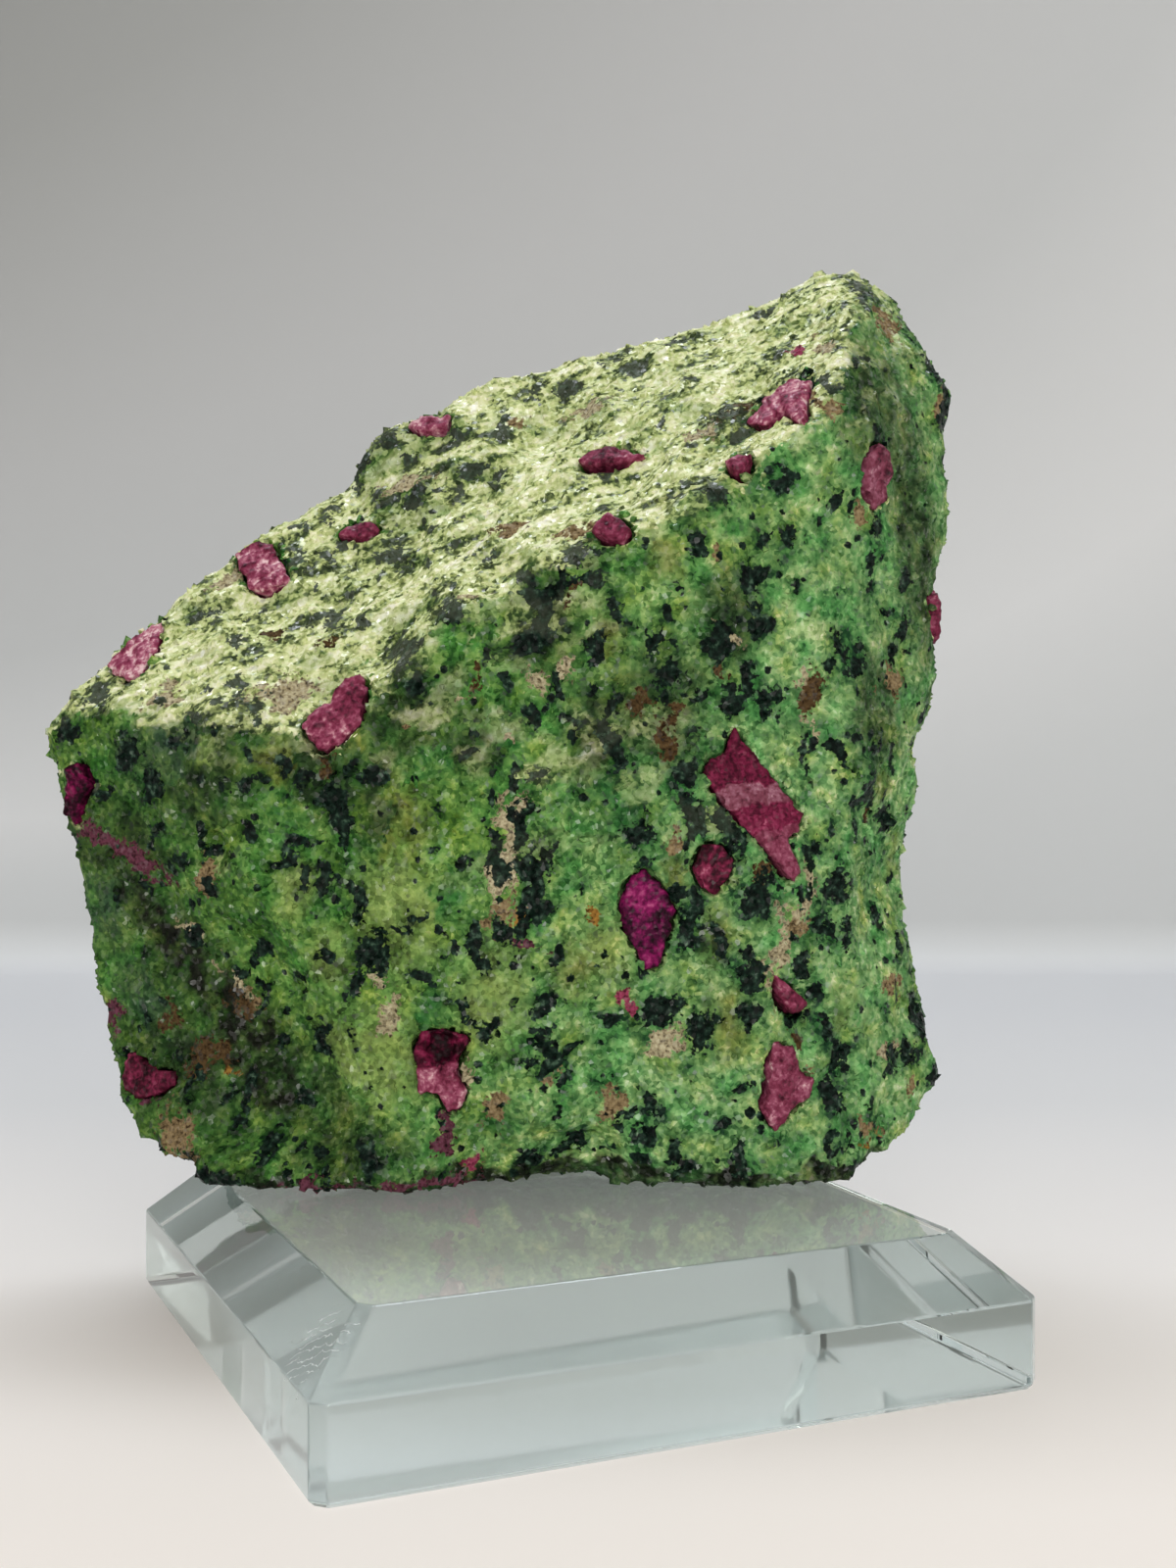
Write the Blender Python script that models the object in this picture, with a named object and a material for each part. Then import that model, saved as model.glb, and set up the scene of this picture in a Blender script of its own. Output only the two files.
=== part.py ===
"""Ruby in zoisite: a broken lump of green zoisite rock with ruby crystals grown in it,
resting on a square bevelled block of clear glass.

Units: the driving sizes are in millimetres and become metres through MM.
Frame: +Z up, the origin at the centre of the glass block's underside, X along its front.

The lump is drawn in its own turned frame, (across, depth, height), because it sits askew on
the block: across runs along its broad face, depth runs back through it. Its surface is a net
of feature lines, the ridges and hollows that a geologist would sketch first. Between them
the net is filled with flat fracture faces, and rough grain relief is added last.
"""
import math

import bmesh
import bpy
from mathutils import Matrix, Vector, noise
from mathutils.bvhtree import BVHTree
from mathutils.geometry import delaunay_2d_cdt

MM = 0.001
GAP = 0.3                       # air between pieces that touch

# ---- glass display block ----
BLOCK_SIDE = 100.0
BLOCK_HEIGHT = 20.0
TOP_BEVEL = 8.0                 # 45 degree bevel round the top
CORNER_CUT = 1.6                # flat ground on each upright edge
FOOT_CHAMFER = 0.8

# ---- zoisite lump ----
LUMP_TURN = math.radians(-24.0)  # how far the lump is turned on the block, about Z
FOOT = BLOCK_HEIGHT + GAP        # height of the plane that the lump stands on

# The widest outline, from the left foot up, over the top and down to the right foot.
RIM = [
    (-52, 2, FOOT), (-59, 9, 22), (-65, 15, 27), (-69, 19, 34), (-72, 22, 45), (-74, 22, 58),
    (-76, 21, 70), (-78, 21, 80), (-79, 22, 88), (-75, 23, 95), (-71, 24, 100), (-65, 25, 106),
    (-59, 28, 112), (-52, 31, 118), (-45, 34, 123), (-35, 37, 129), (-33, 38, 135),
    (-29, 39, 139), (-19, 40, 143), (-11, 41, 148), (-1, 42, 151), (14, 42, 154),
    (28, 40, 157), (35, 40, 160), (43, 40, 165), (50, 38, 165), (55, 36, 161),
    (61, 34, 152), (65, 32, 143), (65, 30, 121), (61, 29, 110), (62, 28, 98), (59, 28, 86),
    (58, 27, 72), (57, 26, 60), (58, 25, 49), (60, 24, 42), (61, 22, 34), (58, 20, 29),
    (54, 16, 25), (49, 11, 22), (45, 6, FOOT),
]
# Where the broad face and the back come down on the glass.
FRONT_FOOT = [(-46, -2, FOOT), (-40, 0, 21.6), (-33, -3, FOOT), (-21, -1, FOOT), (-10, 6, 21.4),
              (5, 8, 21.2), (16, 3, FOOT), (29, 2, FOOT), (38, 3, FOOT)]
BACK_FOOT = [(-50, 14, 21.5), (-44, 28, FOOT), (-24, 44, FOOT), (4, 50, FOOT), (28, 44, 21.5),
             (40, 28, FOOT)]

# Feature lines of the broad face.
BROW = [(-69, 15, 92), (-60, 10, 89), (-47, 4, 88), (-35, 2, 88), (-24, 3, 95), (-14, 4, 106),
        (-3, 4, 112), (11, 3, 117), (26, 4, 125), (39, 6, 134), (44, 12, 144), (47, 22, 154)]
TOP_SLOPE = [(-58, 17, 100), (-41, 22, 109), (-23, 25, 119), (-4, 26, 131), (13, 25, 138),
             (30, 25, 144), (41, 29, 154)]
LEFT_RIB = [(-53, 7, 80), (-48, 5, 69), (-38, 3, 57), (-31, 2, 44), (-26, 1, 33)]
GULLY = [(-64, 15, 66), (-51, 12, 56), (-42, 10, 43), (-35, 7, 31)]
LEFT_FLANK = [(-67, 19, 49), (-59, 16, 37), (-50, 9, 28)]
RIGHT_RIB = [(47, 12, 137), (45, 10, 122), (42, 8, 107), (44, 9, 92), (45, 9, 77), (45, 8, 62),
             (47, 9, 48), (49, 10, 35)]
RIGHT_FLANK = [(56, 22, 130), (54, 20, 108), (52, 19, 88), (51, 18, 68), (55, 17, 43)]
FACE_SWELLS = [(-69, 17, 79), (-16, 1, 80), (-9, 0, 59), (-12, 0, 37), (0, 3, 95), (8, 0, 73),
               (12, -1, 52), (7, 1, 34), (29, 3, 109), (20, 2, 89), (28, 1, 69), (31, 1, 44)]

# Feature lines of the back: a blunt shoulder just inside the rim, and a keel down the middle.
SHOULDER = [(-52, 22, 30), (-64, 36, 40), (-69, 39, 58), (-72, 39, 78), (-68, 42, 94),
            (-52, 48, 111), (-31, 52, 128), (-9, 56, 142), (14, 58, 148), (34, 56, 156),
            (48, 52, 157), (57, 46, 144), (58, 46, 120), (55, 45, 94), (52, 42, 68),
            (54, 38, 46), (50, 28, 30)]
KEEL = [(32, 62, 136), (20, 66, 112), (8, 67, 86), (0, 64, 58), (-6, 56, 34)]
LEFT_BACK = [(-40, 54, 100), (-50, 50, 74), (-40, 52, 52), (-20, 63, 106), (-24, 60, 72)]
RIGHT_BACK = [(44, 58, 118), (38, 60, 86), (34, 56, 58), (32, 48, 36)]

# Knobs and dents of the broken surface: (across, depth, height) of the middle, the radius,
# and how far the rock stands out there, or is hollowed if it is less than nothing.
KNOBS_AND_DENTS = [
    ((-51, 7, 70), 3.0, -4.0), ((-26, 2, 56), 4.0, -1.8), ((-44, 8, 56), 4.0, -1.6),
    ((-41, 8, 46), 7.0, -2.0), ((-49, 5, 82), 7.0, 1.8), ((-14, 3, 86), 9.0, 1.4),
    ((-6, 5, 109), 6.0, -1.8), ((5, 3, 101), 7.0, 1.2), ((0, 0, 73), 7.0, -1.4),
    ((13, 0, 78), 8.0, 1.2), ((20, 4, 95), 6.0, -1.4), ((47, 13, 86), 8.0, 1.8),
    ((50, 17, 65), 9.0, -1.6), ((-3, 1, 33), 9.0, 1.6), ((8, 1, 38), 5.0, -1.4),
    ((26, 2, 38), 7.0, 1.2), ((-36, 18, 108), 5.0, -1.2), ((-18, 27, 124), 6.0, 1.2),
    ((-1, 31, 137), 7.0, -1.4), ((21, 26, 143), 7.0, 1.2), ((-48, 15, 100), 7.0, 1.0),
    ((11, 14, 125), 6.0, -1.0), ((-34, 3, 69), 6.0, -1.4), ((-62, 18, 53), 8.0, 1.4),
    ((-55, 11, 32), 7.0, 1.4), ((20, 3, 115), 8.0, 1.2), ((44, 10, 116), 7.0, -1.2),
    ((-30, 55, 84), 9.0, -2.2), ((14, 64, 96), 11.0, 1.8), ((36, 58, 70), 8.0, -2.0),
    ((-12, 60, 46), 9.0, 1.6), ((-55, 46, 86), 8.0, 1.6), ((6, 60, 132), 8.0, -1.8),
]

VOXEL = 2.0                      # grid that the fracture faces are rebuilt on
SWELL = 0.7                      # makes good what the rebuilding wears off the rim
FOOT_BAND = 0.9                  # hollows of the underside shallower than this are pressed flat
LUMP_TRIANGLES = 6200

# ---- ruby crystals ----
CRYSTAL_DEPTH = 5.0              # how far a crystal goes into the rock
CRYSTAL_ROOT = 0.8               # size of its hidden end, against its outline
CRYSTAL_PROUD = 0.7              # how far its broken top stands above the rock
TOP_CHAMFER = 0.35
POCKET_CLEARANCE = 4.0           # how far above its crystal a pocket is kept free of rock

# Each crystal: the side of the lump it shows on, where on that side (the two coordinates
# of the lump's frame across that side), and its outline there as (right, up) from the middle.
CRYSTALS = {
    "ruby_shield": ("face", (30.6, 77.4), [
        (-2.5, 12.5), (-1.5, 9.5), (7, -1.5), (6.5, -4.5), (4, -5), (6, -10.5), (4.5, -12),
        (0.5, -6.5), (-5.5, 0), (-8.5, 5), (-7, 7), (-4, 8.5)]),
    "ruby_hexagon": ("face", (14.1, 60.7), [
        (-0.5, 7.3), (1.5, 5.5), (4, 1), (3, -2.5), (1.5, -7), (-0.5, -7), (-3.5, -1.5),
        (-4, 2), (-3.5, 4.5)]),
    "ruby_square": ("face", (-16.1, 38.4), [
        (-4, 4.3), (-2, 5.7), (2.3, 5.7), (4, 4.2), (2.3, 1.5), (2.3, -1), (3.6, -3),
        (3, -5.2), (1, -6.3), (-1, -3.2), (-3.4, -3.6), (-3.3, -0.5), (-4, 2)]),
    "ruby_lower_right": ("face", (34.8, 35.9), [
        (-1.8, 6.2), (1.2, 5.2), (1.7, 2), (4.4, 0.7), (4.5, -2), (1.7, -3.3), (-1.6, -7.3),
        (-4, -3.4), (-2.8, -1), (-3, 3)]),
    "ruby_upper_right": ("face", (49.9, 127.3), [
        (-3.2, 2.2), (0, 5), (3.2, 3.3), (3, -2.5), (-0.5, -5), (-2.7, -3)]),
    "ruby_horn": ("face", (35.7, 138.0), [
        (-6, -3), (-5.2, 3), (-2, 6.5), (1.7, 6), (3, 0), (5.5, -5.5), (2.4, -3.6),
        (-0.5, -0.5), (-2, -4.5)]),
    "ruby_brow": ("face", (-32.0, 90.7), [
        (-5.5, -1.8), (-2.4, 1.4), (0.8, 5.8), (3.4, 6.6), (4.2, 4.5), (4, -1), (1.2, -4),
        (-1.5, -6)]),
    "ruby_left_slope": ("face", (-66.0, 101.0), [
        (-4.6, -2.8), (-3, 3.8), (-1, 6.6), (1.5, 6.4), (3.5, 0.5), (4.2, -5), (1.5, -6)]),
    "ruby_slope_square": ("face", (-47.7, 115.0), [
        (-5, 3), (-2.5, 5), (1, 5), (6.3, -3), (3, -5.3), (-0.5, -4.2)]),
    "ruby_crest": ("face", (-20.5, 139.6), [
        (-4, -0.8), (-2, 2), (3.2, 1.6), (3, -1.4), (-1, -2.6)]),
    "ruby_needle": ("face", (8.6, 131.4), [
        (-5, -0.7), (-3, 1.5), (1, 2.3), (6, 0.2), (3.5, -1.5), (-3, -2)]),
    "ruby_edge_middle": ("face", (8.9, 118.2), [
        (-3.2, -0.6), (-2, 2), (-0.4, 3), (3.2, -0.4), (2.5, -2.2), (-0.7, -1.8)]),
    "ruby_edge_right": ("face", (27.8, 127.9), [
        (-2.2, 0.5), (0, 1.7), (2.4, 1.1), (1.2, -1.7), (-0.6, -1.7)]),
    "ruby_slope_small": ("face", (-31.3, 121.0), [
        (-4, -1), (-2, 1.5), (1.5, 1.6), (3.6, 0), (0.6, -2)]),
    "ruby_beside_shield": ("face", (23.8, 68.0), [
        (-1.6, 3.5), (1, 3.1), (2.7, 1.5), (2, -1), (0.7, -3.6), (-1.6, -3.1), (-3, 0)]),
    "ruby_streak": ("face", (34.9, 48.6), [
        (-2.6, 3.2), (-0.5, 2.2), (3.6, -1), (1.6, -2.8), (-0.2, -2), (-1.7, 0.4)]),
    "ruby_left_edge": ("face", (-74.6, 79.0), [
        (-2.2, 3.4), (0.5, 4.6), (3.2, 1), (1.5, -1), (-0.3, -5.4), (-2.6, -3.5)]),
    "ruby_lower_left": ("face", (-63.1, 34.8), [
        (-5.5, 3.4), (-3, 3.2), (1, 1.2), (5.5, 1.2), (6, -0.7), (2.5, -2.2), (-1, -3.5),
        (-5, -2.5)]),
    "ruby_right_edge": ("right", (30, 107), [
        (-3.6, 2.6), (0, 4.6), (3, 2.8), (3.2, -2.4), (0, -4.6), (-3, -2.6)]),
    "ruby_right_low": ("right", (41, 58), [
        (-3, 3.5), (2.4, 4.2), (4.2, 0), (1.8, -3.6), (-3.4, -2.8)]),
    "ruby_left_low": ("left", (31, 62), [
        (-4, 1.4), (-1, 3.4), (3.6, 1.8), (4.2, -1.6), (0.4, -3), (-3.4, -2)]),
    "ruby_back_hexagon": ("back", (-28, 92), [
        (-5, 2.6), (0.4, 5.4), (5.2, 2.4), (4.6, -3), (-0.8, -5.2), (-5.4, -2.4)]),
    "ruby_back_blade": ("back", (20, 122), [
        (-2.6, 7), (1.6, 6), (4.6, -3.4), (2.4, -7), (-1.6, -5), (-3.8, 1.6)]),
    "ruby_back_low": ("back", (-10, 50), [
        (-3.8, 2.6), (1, 4), (4.4, 0.8), (2.4, -3.4), (-2.8, -3)]),
    "ruby_back_right": ("back", (40, 82), [
        (-3, 4), (2.8, 3.4), (3.6, -2), (0.2, -4.6), (-3.6, -1.6)]),
}


def turned(across, depth, height):
    """A point of the lump's own frame, in metres, in the part's frame."""
    point = Matrix.Rotation(LUMP_TURN, 3, "Z") @ Vector((across, depth, height))
    return point * MM


def material(name, colour, roughness, transmission=0.0):
    """A plain Principled material; colour is linear RGB."""
    made = bpy.data.materials.new(name)
    made.use_nodes = True
    shader = made.node_tree.nodes["Principled BSDF"]
    shader.inputs["Base Color"].default_value = (*colour, 1.0)
    shader.inputs["Roughness"].default_value = roughness
    shader.inputs["Metallic"].default_value = 0.0
    shader.inputs["Transmission Weight"].default_value = transmission
    return made


def new_object(name, bm, finish):
    """Turn a bmesh into a named object with one material."""
    mesh = bpy.data.meshes.new(name)
    bmesh.ops.recalc_face_normals(bm, faces=bm.faces)
    bm.to_mesh(mesh)
    bm.free()
    made = bpy.data.objects.new(name, mesh)
    bpy.context.scene.collection.objects.link(made)
    mesh.materials.append(finish)
    return made


def bake_modifiers(piece):
    """Replace an object's mesh by what its modifiers make of it."""
    graph = bpy.context.evaluated_depsgraph_get()
    graph.update()
    baked = bpy.data.meshes.new_from_object(piece.evaluated_get(graph))
    piece.modifiers.clear()
    piece.data = baked


# ---------------------------------------------------------------- glass block
def cut_square(bm, half, cut, height):
    """A square ring with its corners cut off, as eight vertices."""
    ring = []
    for sx, sy, along in ((1, 1, 1), (-1, 1, 0), (-1, -1, 1), (1, -1, 0)):
        near, far = half - cut, half
        pair = [(sx * far, sy * near), (sx * near, sy * far)]
        for x, y in pair if along else reversed(pair):
            ring.append(bm.verts.new(Vector((x, y, height)) * MM))
    return ring


def glass_block(finish):
    """Square plate: small foot chamfer, upright sides, wide polished bevel, flat top."""
    half = BLOCK_SIDE / 2
    levels = [
        (half - FOOT_CHAMFER, CORNER_CUT, 0.0),
        (half, CORNER_CUT, FOOT_CHAMFER),
        (half, CORNER_CUT, BLOCK_HEIGHT - TOP_BEVEL),
        (half - TOP_BEVEL, CORNER_CUT / 3, BLOCK_HEIGHT),
    ]
    bm = bmesh.new()
    rings = [cut_square(bm, *level) for level in levels]
    for low, high in zip(rings, rings[1:]):
        for i in range(len(low)):
            j = (i + 1) % len(low)
            bm.faces.new((low[i], low[j], high[j], high[i]))
    bm.faces.new(rings[0])
    bm.faces.new(rings[-1])
    return new_object("glass_block", bm, finish)


# ---------------------------------------------------------------- zoisite lump
def fracture_sheet(bm, border, lines, flatten):
    """Fill a closed border with flat faces that keep to the given feature lines.

    flatten gives the two coordinates that the sheet is spread out in.
    """
    points = list(border)
    edges = []
    for line in lines:
        first = len(points)
        points += line
        edges += [(i, i + 1) for i in range(first, len(points) - 1)]
    spread = [Vector((p[flatten[0]], p[flatten[1]])) for p in points]
    loop = [list(range(len(border)))]
    inside_only = 1
    _, _, faces, origins, _, _ = delaunay_2d_cdt(spread, edges, loop, inside_only, 1e-5)
    verts = [bm.verts.new(turned(*points[sources[0]])) for sources in origins]
    for face in faces:
        bm.faces.new([verts[i] for i in face])


def fractured_solid():
    """The lump as flat fracture faces between its feature lines."""
    across, depth, height = 0, 1, 2
    right_to_left = list(reversed(FRONT_FOOT))
    back_right_to_left = list(reversed(BACK_FOOT))
    bm = bmesh.new()
    fracture_sheet(bm, RIM + right_to_left,
                   [BROW, TOP_SLOPE, LEFT_RIB, GULLY, LEFT_FLANK, RIGHT_RIB, RIGHT_FLANK]
                   + [[swell] for swell in FACE_SWELLS], (across, height))
    fracture_sheet(bm, RIM + back_right_to_left,
                   [SHOULDER, KEEL] + [[swell] for swell in LEFT_BACK + RIGHT_BACK],
                   (across, height))
    fracture_sheet(bm, [RIM[0]] + FRONT_FOOT + [RIM[-1]] + back_right_to_left, [],
                   (across, depth))
    bmesh.ops.remove_doubles(bm, verts=bm.verts, dist=0.01 * MM)
    return bm


def relief(point):
    """Height of the rough surface at a point in millimetres, in millimetres."""
    broad = noise.noise(point / 21.0 + Vector((3.1, 0.7, 5.2)))
    knobs = noise.noise(point / 8.5 + Vector((7.7, 2.3, 1.9)))
    distances, _ = noise.voronoi(point / 7.0)
    chips = distances[1] - distances[0]
    return 1.3 * broad + 1.2 * knobs + 1.2 * (chips - 0.35)


def knobs_and_dents(point):
    """How far the named knobs and dents move the surface at a point, in millimetres."""
    move = 0.0
    for middle, radius, height in KNOBS_AND_DENTS:
        away = (point - turned(*middle) / MM).length / radius
        if away < 3:
            move += height * math.exp(-away * away)
    return move


def roughen(mesh):
    """Push each vertex along its normal by the knobs, dents and rough relief."""
    bm = bmesh.new()
    bm.from_mesh(mesh)
    bm.normal_update()
    moves = []
    for vert in bm.verts:
        point = vert.co / MM
        height = SWELL + relief(point) + knobs_and_dents(point)
        moves.append(vert.normal * height * MM)
    for vert, move in zip(bm.verts, moves):
        vert.co += move
    bm.to_mesh(mesh)
    bm.free()


def flatten_foot(mesh):
    """Press the underside flat where the lump stands, so that it rests on the glass."""
    bm = bmesh.new()
    bm.from_mesh(mesh)
    bm.normal_update()
    foot = FOOT * MM
    pressed = []
    for vert in bm.verts:
        faces_down = vert.normal.z < -0.6
        if vert.co.z < foot or (faces_down and vert.co.z < foot + FOOT_BAND * MM):
            pressed.append(vert)
    for vert in pressed:
        vert.co.z = foot
    bm.to_mesh(mesh)
    bm.free()


def zoisite_lump(finish):
    lump = new_object("zoisite_lump", fractured_solid(), finish)
    remesh = lump.modifiers.new("rebuild", "REMESH")
    remesh.mode = "VOXEL"
    remesh.voxel_size = VOXEL * MM
    bake_modifiers(lump)
    roughen(lump.data)
    faces = sum(len(polygon.vertices) - 2 for polygon in lump.data.polygons)
    thin = lump.modifiers.new("thin", "DECIMATE")
    thin.ratio = LUMP_TRIANGLES / faces
    bake_modifiers(lump)
    flatten_foot(lump.data)
    return lump


# ---------------------------------------------------------------- ruby crystals
FAR = 200.0                      # a distance well outside the lump
SIDES = {                        # side: (a point outside, way in) in the lump's frame
    "face": (lambda first, second: (first, -FAR, second), (0, 1, 0)),
    "back": (lambda first, second: (first, FAR, second), (0, -1, 0)),
    "left": (lambda first, second: (-FAR, first, second), (1, 0, 0)),
    "right": (lambda first, second: (FAR, first, second), (-1, 0, 0)),
}
NEIGHBOURHOOD = 5.0              # rock this near sets the way that a crystal faces


def seat(rock, side, place):
    """The frame of a spot on the rock: right, up and out of the surface, in metres."""
    outside, inwards = SIDES[side]
    start = turned(*outside(*place))
    way = turned(*inwards).normalized()
    spot, _, _, _ = rock.ray_cast(start, way)
    facing = Vector()
    for _, normal, _, _ in rock.find_nearest_range(spot, NEIGHBOURHOOD * MM):
        if normal.dot(way) < 0:
            facing += normal
    facing.normalize()
    up = (Vector((0, 0, 1)) - facing * facing.z).normalized()
    right = up.cross(facing)
    frame = Matrix((right, up, facing)).transposed().to_4x4()
    frame.translation = spot
    return frame


def outset(corners, by):
    """A closed outline moved outwards, square to its edges; its corners run clockwise."""
    moved = []
    for before, here, after in zip(corners[-1:] + corners, corners, corners[1:] + corners[:1]):
        arriving = (Vector(here) - Vector(before)).normalized()
        leaving = (Vector(after) - Vector(here)).normalized()
        normals = [Vector((-way.y, way.x)) for way in (arriving, leaving)]
        sharpness = max(1 + normals[0].dot(normals[1]), 0.6)
        moved.append(Vector(here) + (normals[0] + normals[1]) * by / sharpness)
    return moved


def prism(frame, rings):
    """A closed solid through outlines of equally many corners, each at its own height."""
    bm = bmesh.new()
    loops = []
    for corners, height in rings:
        loops.append([bm.verts.new(frame @ (Vector((x, y, height)) * MM)) for x, y in corners])
    for low, high in zip(loops, loops[1:]):
        for i in range(len(low)):
            j = (i + 1) % len(low)
            bm.faces.new((low[i], low[j], high[j], high[i]))
    caps = [bm.faces.new(loops[0]), bm.faces.new(loops[-1])]
    bmesh.ops.triangulate(bm, faces=caps)
    return bm


def ruby_and_pocket(name, frame, corners, finish):
    """A crystal with a chamfered broken top, and the cutter for the pocket it sits in."""
    root = [Vector(corner) * CRYSTAL_ROOT for corner in corners]
    ruby = prism(frame, [
        (root, -CRYSTAL_DEPTH),
        (corners, 0.0),
        (corners, CRYSTAL_PROUD - TOP_CHAMFER),
        (outset(corners, -TOP_CHAMFER), CRYSTAL_PROUD),
    ])
    wider = outset(corners, GAP)
    pocket = prism(frame, [
        (outset(root, GAP), -CRYSTAL_DEPTH - GAP),
        (wider, 0.0),
        (wider, CRYSTAL_PROUD + POCKET_CLEARANCE),
    ])
    new_object(name, ruby, finish)
    cutter = new_object("pocket_of_" + name, pocket, finish)
    cutter.hide_render = True
    cutter.display_type = "WIRE"
    return cutter


def set_rubies(lump, finish):
    """Seat every crystal on the lump and cut the pockets they sit in."""
    bm = bmesh.new()
    bm.from_mesh(lump.data)
    rock = BVHTree.FromBMesh(bm)
    bm.free()
    for name, (side, place, corners) in CRYSTALS.items():
        cutter = ruby_and_pocket(name, seat(rock, side, place), corners, finish)
        pocket = lump.modifiers.new(name, "BOOLEAN")
        pocket.operation = "DIFFERENCE"
        pocket.object = cutter


# ---------------------------------------------------------------- whole part
def main():
    for old in list(bpy.data.objects):
        bpy.data.objects.remove(old)
    glass = material("clear_glass", (0.72, 0.86, 0.80), 0.03, 1.0)
    zoisite = material("zoisite_rock", (0.13, 0.29, 0.08), 0.55)
    ruby = material("ruby_corundum", (0.24, 0.012, 0.075), 0.3)
    glass_block(glass)
    lump = zoisite_lump(zoisite)
    set_rubies(lump, ruby)


main()
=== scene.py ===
# %% [markdown]
# # Ruby in zoisite on a glass block
#
# A broken lump of green zoisite, with ruby crystals grown in it, stands on a square block of
# clear bevelled glass. Up close the rock isn't a smooth stone: it is a crowd of grains, one to
# three millimetres across, each broken along its own flat faces. That crowd is what this script
# makes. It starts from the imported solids, and every piece that it adds lies where they lie.

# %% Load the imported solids
import math

import bpy
import numpy as np
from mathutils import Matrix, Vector, noise
from mathutils.bvhtree import BVHTree


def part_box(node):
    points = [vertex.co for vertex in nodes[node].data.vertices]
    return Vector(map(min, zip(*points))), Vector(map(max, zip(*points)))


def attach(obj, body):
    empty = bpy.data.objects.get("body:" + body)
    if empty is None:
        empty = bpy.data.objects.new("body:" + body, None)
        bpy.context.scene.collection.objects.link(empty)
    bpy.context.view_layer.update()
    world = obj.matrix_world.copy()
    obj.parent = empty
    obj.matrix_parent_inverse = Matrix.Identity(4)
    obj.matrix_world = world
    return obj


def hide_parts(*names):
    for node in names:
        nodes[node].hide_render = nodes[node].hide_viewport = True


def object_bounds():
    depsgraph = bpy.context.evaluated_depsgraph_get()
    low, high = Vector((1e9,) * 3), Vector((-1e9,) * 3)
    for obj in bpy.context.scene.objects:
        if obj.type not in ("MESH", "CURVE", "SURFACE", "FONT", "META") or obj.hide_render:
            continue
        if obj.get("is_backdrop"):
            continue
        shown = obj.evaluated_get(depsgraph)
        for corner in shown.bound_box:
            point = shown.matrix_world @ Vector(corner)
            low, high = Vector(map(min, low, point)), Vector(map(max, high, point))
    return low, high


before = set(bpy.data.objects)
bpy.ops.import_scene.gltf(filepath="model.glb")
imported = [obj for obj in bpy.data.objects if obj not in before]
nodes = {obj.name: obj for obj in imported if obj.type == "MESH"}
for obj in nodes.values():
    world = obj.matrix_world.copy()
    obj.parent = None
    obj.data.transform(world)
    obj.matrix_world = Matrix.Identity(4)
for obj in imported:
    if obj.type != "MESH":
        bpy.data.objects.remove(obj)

MM = 0.001
CAD_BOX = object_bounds()
print("solids:", len(nodes), "whole size in mm:",
      [round(side / MM, 1) for side in CAD_BOX[1] - CAD_BOX[0]])


# %% [markdown]
# Two small helpers serve the whole script. Operators act on whatever is selected, and the
# loaded solids come in selected, so `pick` first clears the selection and then selects one
# piece. `edit` opens a piece in edit mode for the steps that a modeller does by hand.

# %% Selecting and editing
def pick(piece):
    """Select one piece alone and make it the active one."""
    bpy.ops.object.select_all(action="DESELECT")
    piece.select_set(True)
    bpy.context.view_layer.objects.active = piece
    return piece


def edit(piece, keep=False):
    """Open a piece in edit mode with everything selected, or the selection kept."""
    pick(piece)
    bpy.ops.object.mode_set(mode="EDIT")
    if not keep:
        bpy.ops.mesh.select_all(action="SELECT")


def leave_edit():
    bpy.ops.object.mode_set(mode="OBJECT")


def apply(piece, kind, **settings):
    """Add one modifier with its settings and apply it."""
    pick(piece)
    made = piece.modifiers.new(kind.lower(), kind)
    for field, value in settings.items():
        setattr(made, field, value)
    bpy.ops.object.modifier_apply(modifier=made.name)


def merged_copy(node, name):
    """A new piece with a solid's mesh, its loose triangles joined at their corners."""
    piece = bpy.data.objects.new(name, nodes[node].data.copy())
    bpy.context.scene.collection.objects.link(piece)
    piece.data.materials.clear()
    edit(piece)
    bpy.ops.mesh.remove_doubles(threshold=0.001 * MM)
    leave_edit()
    return piece


# %% [markdown]
# ## Camera, room and light
#
# The lump is seen from a low eye level, a little above its middle, so the camera looks almost
# straight ahead. A long lens from far away would flatten the block, and a phone held close
# gives the strong perspective that this view has, so the camera stands 270 mm off.

# %% Camera
EYE = Vector((-105.0, -248.6, 84.0)) * MM
LOOK = Vector((0.4072, 0.9132, -0.0135))
SENSOR_WIDE, LENS = 36.0, 42.3   # mm
bpy.ops.object.camera_add(location=EYE, rotation=LOOK.to_track_quat("-Z", "Y").to_euler())
camera = bpy.context.object
camera.name = "camera"
camera.data.sensor_width, camera.data.lens = SENSOR_WIDE, LENS
bpy.context.scene.camera = camera
bpy.context.scene.view_settings.view_transform = "Standard"
print("camera looks", round(math.degrees(math.asin(LOOK.z)), 1), "degrees up")


# %% [markdown]
# Materials need two helpers. Colours are picked as hex values, the way any paint program
# shows them, and Blender works in linear light, so `paint` turns one into the other. `add`
# makes one shader node with its settings, its values and its links.

# %% Colour and node helpers
def paint(hex_colour):
    """A hex sRGB colour as linear RGBA."""
    channels = [int(hex_colour[i:i + 2], 16) / 255 for i in (1, 3, 5)]
    linear = [c / 12.92 if c <= 0.04045 else ((c + 0.055) / 1.055) ** 2.4 for c in channels]
    return (*linear, 1.0)


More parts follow.
